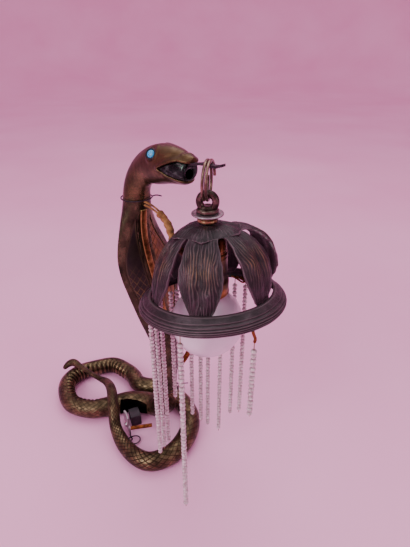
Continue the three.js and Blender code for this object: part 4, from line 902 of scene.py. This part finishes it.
def bulb_wall(inset, steps):
    """Half outline of the glass, set in by the wall for its inside."""
    radius = BULB_RADIUS - inset
    wall = [(radius * math.sin(t) + 0.001, BULB_CENTRE - radius * math.cos(t))
            for t in np.linspace(0, math.radians(132), steps)]
    r, z = wall[-1]
    return wall + [(r - 1.7, z + 1.8), (r - 3.2, z + 3.6), (r - 4.7, z + 5.9), (NECK + 2.2 - inset, z + 8.3),
                   (NECK + 1.1 - inset, z + 11), (NECK + 0.3 - inset, z + 16), (NECK - inset, GLASS_TOP)]


turned("bulb_glass", 0, bulb_wall(0, 40) + bulb_wall(GLASS_WALL, 24)[::-1], opal_glass, "frosted_glass", 96,
       body="bulb")
# Rolled aluminium: pale silver, a little dull
cap_alloy = weathered_metal("rolled aluminium cap", "#7d7a76", "#b4b1ab", "#d8d5cf", roughness=0.3,
                            mottle=6.25)
CAP_MEAN, CAP_WAVE, CAP_STEP, CAP_STEPS = 12.4, 0.55, 0.27, 56
rolled = [(CAP_MEAN + CAP_WAVE * math.sin(k * math.pi / 6.5), 1 + k * CAP_STEP) for k in range(CAP_STEPS)]
turned("bulb_cap", 259, [(0.01, 0), (12.6, 0)] + rolled + [(11.6, 17.2), (9, 19.4), (6, 20.6), (0.01, 20.8)],
       cap_alloy, "cap_alloy", 64, body="bulb", faces=skin_faces)
turned("bulb_contact", 280.1, [(0.01, 0), (4.6, 0), (4.5, 0.5), (3.6, 1.1), (2.4, 1.5), (0.01, 1.7)],
       cap_alloy, "cap_alloy", 64, body="bulb", faces=skin_faces)

# Pierced shade
# Leaves of bent bronze sheet, brown-black and dry, hang askew from a round crown. Each has
# a groove down its middle, chased veins and a worn edge, and stands in a rolled rim.
CROWN_TOP, SHEET, SHADE_LEAN, SHADE_TIP = 298.39, 1.3, -8, 1.9
shade_turn = np.array(Matrix.Rotation(math.radians(SHADE_LEAN), 3, "X")
                      @ Matrix.Rotation(math.radians(SHADE_TIP), 3, "Y"))
DOME = [(5.6, 0), (12, -0.4), (18, -2.2), (23.6, -5.6), (30, -12), (36, -20.5), (40.5, -30.5), (43.6, -41),
        (46.9, -55.3)]
# Bearing, outward bow and raggedness of each leaf
LEAVES = [(-140, 0, 1), (-76.5, 4.5, 1), (-20.5, 10.5, 3), (33, 2, 1.5), (87, 0, 1), (162.5, 0, 1)]
CROWN_RADIUS, PETAL_HALF, ROOT_HALF, TIP_HALF, SEAM = 23, 16.2, 11, 5.5, 1.05
LEAF_CUP, LEAF_GROOVE, LEAF_RIB, LEAF_CURL, LEAF_DENTS, LEAF_RAGGED = 1.6, 1.5, 0.9, 0.7, 0.5, 0.9
VEIN_TURN, VEIN_WANDER = 3.2, 2.3
dome_lengths = np.concatenate([[0], np.cumsum([math.dist(a, b) for a, b in zip(DOME, DOME[1:])])])


def in_shade(points):
    """Part-frame mm of points given in the tilted frame of the shade."""
    return np.asarray(points, float).reshape(-1, 3) @ shade_turn.T + (0, LAMP_Y, CROWN_TOP)


def dome_at(length):
    """Radius, height and outward direction on the dome at a distance down its profile."""
    i = min(max(int(np.searchsorted(dome_lengths, length, side="right")) - 1, 0), len(DOME) - 2)
    p = i + (length - dome_lengths[i]) / (dome_lengths[i + 1] - dome_lengths[i])
    r, z = smooth_row(DOME, p)
    (r1, z1), (r0, z0) = smooth_row(DOME, min(p + 0.05, len(DOME) - 1)), smooth_row(DOME, max(p - 0.05, 0))
    slope = math.hypot(r1 - r0, z1 - z0)
    return r, z, -(z1 - z0) / slope, (r1 - r0) / slope


def off_dome(at, lift, turn):
    """Point that stands out from a place on the dome, at a turn about the shade's axis."""
    r, z, out, up = at
    return (r + out * lift) * math.cos(turn), (r + out * lift) * math.sin(turn), z + up * lift


# The leaves start at the edge of the crown, which lies in the dome's profile at this length
edge_row = next(i for i, (r, _) in enumerate(DOME) if r > CROWN_RADIUS)
(r0, _), (r1, _) = DOME[edge_row - 1:edge_row + 1]
crown_length = dome_lengths[edge_row - 1] + (CROWN_RADIUS - r0) / (r1 - r0) * (
    dome_lengths[edge_row] - dome_lengths[edge_row - 1])
leaf_start, leaf_end = crown_length + SEAM, dome_lengths[-1]

# Oxidised bronze: dry and purple-brown, rubbed pinkish on the high folds, dull in the hollows; on the middle
# of each leaf the high folds are painted gold as a highlight
oxidised_bronze, tree, surface, _, clouds, tone = mottled(
    "oxidised bronze", 11.76, 8, [(0.3, "#151114"), (0.5, "#292125"), (0.72, "#41353b")], coarse=0.65,
    Metallic=0.55)
along = add(tree, "Attribute", attribute_name="skin", out="Vector")
streaks = add(tree, "TexNoise", {"Vector": along, "Scale": 1.0, "Detail": 6, "Roughness": 0.7})
tone = add(tree, "MixRGB", {0: 0.35, 1: tone, 2: streaks}, blend_type="OVERLAY")
worn = add(tree, "MapRange", {0: add(tree, "NewGeometry", out="Pointiness"), 1: 0.5, 2: 0.56, 4: 0.8})
# Painted highlight: the high folds turn gold where the leaf's mark says so
rubbed_and_highlit = add(tree, "Attribute", attribute_name="rubbed_and_highlit", out="Fac")
ridge = add(tree, "MixRGB", {0: rubbed_and_highlit, 1: "#65555b", 2: "#94704c"})
add(tree, "MixRGB", {0: worn, 1: tone, 2: ridge}, to=surface["Base Color"])
add(tree, "MapRange", {0: clouds, 1: 0.3, 2: 0.7, 3: 0.54, 4: 0.34}, to=surface["Roughness"])
rough = add(tree, "Math", {0: clouds, 1: streaks}, operation="ADD")
add(tree, "Bump", {"Height": rough, "Distance": 0.0008, "Strength": 0.8}, to=surface["Normal"])


def leaf(name, angle, bow, torn, seed, rows=96, columns=56):
    """One leaf of the shade, with its groove, two swells, veins and uneven edge."""
    outer, inner, marks, rubbed_and_highlit = [], [], [], []
    for i in range(rows + 1):
        t = i / rows
        at = dome_at(leaf_start + (leaf_end - leaf_start) * t)
        swell = max(math.sin(math.pi * t ** 1.3), 0) ** 0.9
        base = ROOT_HALF + (TIP_HALF - ROOT_HALF) * t
        half = base + (PETAL_HALF - (ROOT_HALF + TIP_HALF) / 2) * swell
        bowed = bow * max(math.sin(math.pi * min(t / 0.9, 1)), 0) ** 0.6
        for k in range(columns + 1):
            across = -1 + 2 * k / columns
            ragged = noise.noise((across * 0.4 + seed * 7, t * 9 * torn ** 0.6, seed))
            reach = half + ragged * LEAF_RAGGED * torn * abs(across) ** 6
            turn = math.radians(angle) + reach * across / at[0]
            cup = (LEAF_CUP * (1 - across ** 2) - LEAF_GROOVE * math.exp(-(across * 4.5) ** 2)) * swell
            # Veins run down the leaf 2 mm apart, wander, fork and fade
            way = abs(across) * half + VEIN_WANDER * noise.noise((across * 1.6, t * 3.4, seed))
            fork = noise.noise((across * 4, t * 8, seed + 9))
            fold = (0.2 + 0.3 * fork) * math.sin(way * VEIN_TURN + 3 * fork)
            fold *= (1 - abs(across) ** 8) * min(t * 6, 1) * (1.5 - t * 0.7)
            rib = LEAF_RIB * math.exp(-((abs(across) - 0.4) / 0.2) ** 2) * swell
            curl = LEAF_CURL * max(abs(across) - 0.86, 0) / 0.14 * swell
            dents = LEAF_DENTS * noise.noise((across * 3, t * 9, seed * 3))
            outer.append(off_dome(at, bowed + cup + fold + rib + curl + dents, turn))
            inner.append(off_dome(at, bowed + cup - SHEET, turn))
            marks.append((across * half * 0.8, t * 6, seed * 3))
            # How far the high folds are painted gold, as a highlight over the middle of the leaf
            rubbed_and_highlit.append(max(1 - abs(t - 0.42) / 0.3, 0) * max(1 - (abs(across) / 0.85) ** 4, 0))
    made = piece(name, in_shade(outer + inner), plate_faces(rows, columns), oxidised_bronze, "lantern",
                 "shade_bronze")
    mark(made, "skin", marks + marks)
    mark(made, "rubbed_and_highlit", rubbed_and_highlit + rubbed_and_highlit)


for k, (angle, bow, torn) in enumerate(LEAVES, 1):
    leaf(f"shade_petal_{k}", angle, bow, torn, k)

# Crown: a cap whose edge is drawn down to a point over the groove of each leaf, with a rolled lip
CROWN_HOLE, CROWN_SIDES, CROWN_STEPS = 5.9, 288, 44
CROWN_LAP, POINT_REACH, POINT_SPAN, CROWN_LIFT, CROWN_WAVES, CROWN_DENTS = 1.2, 4, 30, 1.2, 0.9, 0.5
outer, inner = [], []
for i in range(CROWN_STEPS + 1):
    for a in turns(CROWN_SIDES):
        nearest, bow = min((abs((math.degrees(a) - p + 180) % 360 - 180), w) for p, w, _ in LEAVES)
        point = max(1 - nearest / POINT_SPAN, 0) ** 1.7
        reach = crown_length + CROWN_LAP + POINT_REACH * point * (1 - bow / 12)
        length = reach * i / CROWN_STEPS
        r, z, out, up = dome_at(length)
        over = max((length - leaf_start) / (leaf_end - leaf_start), 0)
        carried = bow * math.sin(math.pi * over / 0.9) ** 0.6 + min(over * 9, 1) * CROWN_LIFT
        waves = math.cos(math.radians(nearest) * 6) * (length / reach) ** 2
        lip = max(i / CROWN_STEPS - 0.86, 0) / 0.14
        lift = carried + 0.1 * lip * (1 - 0.5 * point) + CROWN_WAVES * waves
        lift += CROWN_DENTS * noise.noise((r * 0.22 * math.cos(a), r * 0.22 * math.sin(a), 5))
        wander = 3 * noise.noise((r * 0.15, nearest * 0.1, 3))
        lift += 0.2 * math.sin(nearest * 0.9 + wander) * min(length / 12, 1)
        at = max(r, CROWN_HOLE), z, out, up
        outer.append(off_dome(at, max(lift, -0.2), a))
        inner.append(off_dome(at, carried - SHEET * (0.9 if i < CROWN_STEPS - 1 else 0.1), a))
under = np.array(inner).reshape(-1, CROWN_SIDES, 3)[::-1].reshape(-1, 3)
points = np.concatenate([outer, under])
crown = piece("shade_crown", in_shade(points), ring_faces(2 * CROWN_STEPS + 2, CROWN_SIDES), oxidised_bronze,
              "lantern", "shade_bronze")
mark(crown, "skin", points * 0.25)

# Rim: rolled bronze strip with five grooves, dented here and there
RIM_TOP_RADIUS, RIM_WIDEST, RIM_TOP, RIM_FOOT, RIM_ROLL, RIM_SHEET = 49, 57.2, -52.8, -64.6, 0.7, 1.8
RIM_GROOVES, GROOVE_WIDTH, GROOVE_DEPTH = (0.32, 0.48, 0.62, 0.75, 0.88), 0.03, 0.95
RIM_PROUD, RIM_SIDES, RIM_STEPS = 0.5, 288, 44
rings, marks = [], []
down = np.linspace(0, 1, RIM_STEPS)
for t, outside in [(t, True) for t in down] + [(t, False) for t in down[::-1]]:
    r = RIM_TOP_RADIUS + (RIM_WIDEST - RIM_TOP_RADIUS) * math.sin(math.pi * RIM_ROLL * t)
    z = RIM_TOP + (RIM_FOOT - RIM_TOP) * t + (0 if outside or t >= 0.05 else SEAT_GAP)
    ring = []
    for a in turns(RIM_SIDES):
        x, y = math.cos(a), math.sin(a)
        dent = 0.5 * noise.noise((x * 3, y * 3, t * 2 + 9)) + 0.25 * noise.noise((x * 16, y * 16, t * 6))
        if outside:
            grooves = sum(math.exp(-((t - g + 0.03 * noise.noise((x * 2, y * 2, g * 9))) / GROOVE_WIDTH) ** 2)
                          for g in RIM_GROOVES)
            reach = r + RIM_PROUD - GROOVE_DEPTH * min(grooves, 1) + dent * 0.6
        else:
            reach = r - RIM_SHEET + dent * 0.3
        ring.append((reach * x, reach * y, z))
        marks.append((t * 9, x * 6, y * 6))
    rings.append(ring)
rim = piece("rim_band", in_shade(rings), ring_faces(len(rings), RIM_SIDES), oxidised_bronze, "lantern",
            "shade_bronze")
mark(rim, "skin", marks)

# Bead strands
# Twelve threads of small round glass beads, clear with a pink cast and grey with dust, hang
# from wires on the rim, and a thirteenth hangs from a rusted hook.
STRAND_RING, BEAD, BEAD_PITCH, BEAD_GAP, BEAD_SIDES, BEAD_STEPS = 55, 4.8, 4, 0.1, 14, 9
WIRE_DROP, THREAD_RADIUS, THREAD_SIDES, BEAD_SWAY, BEADS_UNLIKE = 6, 0.35, 8, 0.12, 0.16
STRANDS = [("left_outer", 124.5, 192), ("left_middle", 114.5, 194), ("left_inner", 106, 193),
           ("middle_left", 92.5, 138), ("middle_right", 85.5, 138), ("front", -154.5, 190),
           ("rear_a", 71.5, 172), ("rear_b", 61.5, 185), ("rear_c", 53.5, 192), ("rear_d", 40.5, 202),
           ("right_a", 27.5, 172), ("right_b", 16.5, 166)]
# Pressed glass under dust: pale pink-grey beads, with painted shade where they meet
clear_glass, tree, surface, _, _, tone = mottled(
    "dusty clear glass", 2.38, 4, [(0.33, "#b3999f"), (0.5, "#d9c4ca"), (0.66, "#f6ebee")],
    Roughness=0.1, IOR=1.5, Transmission_Weight=0.25)
# Painted shade: each bead darkens towards its two ends, where it meets the next
neck = add(tree, "Attribute", attribute_name="neck", out="Fac")
add(tree, "MixRGB", {0: neck, 1: tone, 2: "#574149"}, to=surface["Base Color"])
# Twisted cotton: matt tan, paler where the dye has gone
cotton_thread = mottled("cotton thread", 3.33, 2, [(0.3, "#6a4c34"), (0.7, "#a78763")], Roughness=0.8)[0]


def strand(name, top, length, seed):
    """A thread of beads that are round, with a dimple at each end, and not quite alike."""
    x, y, z = top
    points, faces, kinds, bead_end_shade = [], [], [], []

    def include(rings, kind, sides):
        first = len(points)
        # How near each ring lies to a bead's end, for the painted shade where beads meet
        near_end = [abs(2 * i / (len(rings) - 1) - 1) ** 3 for i in range(len(rings))]
        bead_end_shade.extend(np.repeat(near_end, sides).tolist())
        points.extend(np.array(rings).reshape(-1, 3).tolist())
        new = [tuple(first + v for v in face) for face in skin_faces(len(rings), sides)]
        faces.extend(new)
        kinds.extend([kind] * len(new))

    include([[(x + THREAD_RADIUS * math.cos(a), y + THREAD_RADIUS * math.sin(a), h)
              for a in turns(THREAD_SIDES)] for h in np.linspace(z - 0.1, z - length + 0.4, 40)],
            1, THREAD_SIDES)
    h = z - WIRE_DROP - 2
    k = 0
    while h > z - length + 2.2:
        big = noise.noise((seed * 3.1, k * 0.7, 0)) * BEADS_UNLIKE
        radius = BEAD / 2 - 0.05 + (big - 0.15 if k % 2 else 0)
        bx, by = x + BEAD_SWAY * math.sin(k * 2.3 + seed), y + BEAD_SWAY * math.cos(k * 1.7 + seed)
        include([[(bx + radius * math.sin(t) * math.cos(a), by + radius * math.sin(t) * math.sin(a),
                   h + (BEAD_PITCH - BEAD_GAP) / 2 * math.cos(t)) for a in turns(BEAD_SIDES)]
                 for t in np.linspace(0.12, math.pi - 0.12, BEAD_STEPS)], 0, BEAD_SIDES)
        h -= BEAD_PITCH
        k += 1
    made = piece(f"strand_{name}", points, faces, clear_glass, f"strand_{name}", "clear_beads")
    made.data.materials.append(cotton_thread)
    made.data.polygons.foreach_set("material_index", kinds)
    mark(made, "neck", bead_end_shade)


def rim_point(bearing, radius, z):
    """Part-frame mm of a point at a bearing in degrees, in the tilted frame of the shade."""
    a = math.radians(bearing)
    return in_shade([(radius * math.cos(a), radius * math.sin(a), z)])[0]


for k, (name, bearing, length) in enumerate(STRANDS):
    strand(name, rim_point(bearing, STRAND_RING, RIM_FOOT) - (0, 0, SEAT_GAP), length, k)

HOOK_BEARING, HOOK_LENGTH, HOOK_WIRE, HOOKED_LENGTH = -100.5, 10, 2.2, 72
# Rusted steel: dry and rough, orange to dark brown
rusted_steel = weathered_metal("rusted steel", "#35190d", "#7a4322", "#a8683a", roughness=0.62, mottle=3.85)
hook_top = rim_point(HOOK_BEARING, STRAND_RING, RIM_FOOT) - (0, 0, SEAT_GAP)
route = [(*(hook_top + d), HOOK_WIRE / 2) for d in (
    (0, 0, -0.6), (0.6, -0.4, -HOOK_LENGTH / 3), (1.6, -1.2, -HOOK_LENGTH * 0.7), (1.2, -1, -HOOK_LENGTH))]
tube("strand_hook", route, rusted_steel, "lantern", "rusted_steel", step=0.4)
strand("hooked", hook_top + (1.2, -1, -HOOK_LENGTH - SEAT_GAP), HOOKED_LENGTH, 20)

# Rusted wire on the rim
# Three old iron wires, rusted red-brown and brittle, are still twisted along the inside of the
# rim at the back; their ends hang down inside the strands.
WIRE_BEARING, WIRE_ARC, WIRE_SHIFT, WIRE_RING, WIRE_POINTS = 31, 34, 5, 54.5, 12
for k in range(3):
    route = []
    for t in np.arange(WIRE_POINTS) / (WIRE_POINTS - 1):
        sunk = 3 * min(t * 4, 1)
        lift = 1.2 - sunk + 2.4 * noise.noise((k * 5, t * 6, 1)) - (13 + 5 * k) * max(t - 0.72, 0) / 0.28
        reach = WIRE_RING - sunk + 1.6 * noise.noise((k * 3, t * 7, 4))
        bearing = WIRE_BEARING - WIRE_ARC * min(t / 0.75, 1) - WIRE_SHIFT * k
        route.append((*rim_point(bearing, reach, RIM_FOOT + lift), 0.9 - 0.3 * t))
    tube(f"rusted_wire_{k + 1}", route, rusted_steel, "lantern", "rusted_steel", nodes=[], step=0.5, sides=10)

# Hardware in the coil
# What is left of the wiring: a bent zinc bracket with its screw, a rusted rod, a block and a
# loop of black wire, and a rusted outlet tube on the upright.
dress("terminal_bracket", bright_steel, worn=0.3)
dress("bracket_screw", bright_steel, worn=0.2)
dress("terminal_block", black_iron, worn=0.8)
ROD_ROUTE = [(-31, 22.1, 13.4, 2.3), (-24, 18.2, 13.4, 2.15), (-15, 13.2, 13.4, 2.3), (-8.8, 9.7, 13.4, 2.2)]
tube("tie_rod", ROD_ROUTE, rusted_steel, "snake", "rusted_steel", step=0.5)

LOOP_X, LOOP_Y, LOOP_REACH, LOOP_RADIUS = -31, 12.6, (5.4, 5), 0.7
points = [(LOOP_X - 1.4, LOOP_Y + 8.8, 1.4), (LOOP_X - 1.7, LOOP_Y + 7.4, 1.3)]
for k in range(11):
    a = math.radians(112 + 31 * k)
    points.append((LOOP_X + LOOP_REACH[0] * math.cos(a), LOOP_Y + LOOP_REACH[1] * math.sin(a),
                   1.1 + 0.18 * k))
points += [(LOOP_X - 1.5, LOOP_Y + 5.4, 3.9), (LOOP_X - 8.05, LOOP_Y + 4.1, 5.4)]
tube("wire_loop", [(*p, LOOP_RADIUS) for p in points], black_iron, "snake", "black_iron", step=0.5, sides=12)

OUTLET_ROUTE = [(28.6, 8, 84), (36, 8, 86), (42, 8, 90), (48, 8, 97)]
OUTLET_RADIUS, OUTLET_BORE, OUTLET_SIDES = 3, 2.2, 28
wall, bore = (sweep(even_rows([(*p, radius) for p in OUTLET_ROUTE], 0.5)[0], OUTLET_SIDES)
              for radius in (OUTLET_RADIUS, OUTLET_BORE))
rings = np.concatenate([wall, bore[::-1]])
piece("outlet_tube", rings, ring_faces(len(rings), OUTLET_SIDES), rusted_steel, "snake", "rusted_steel")
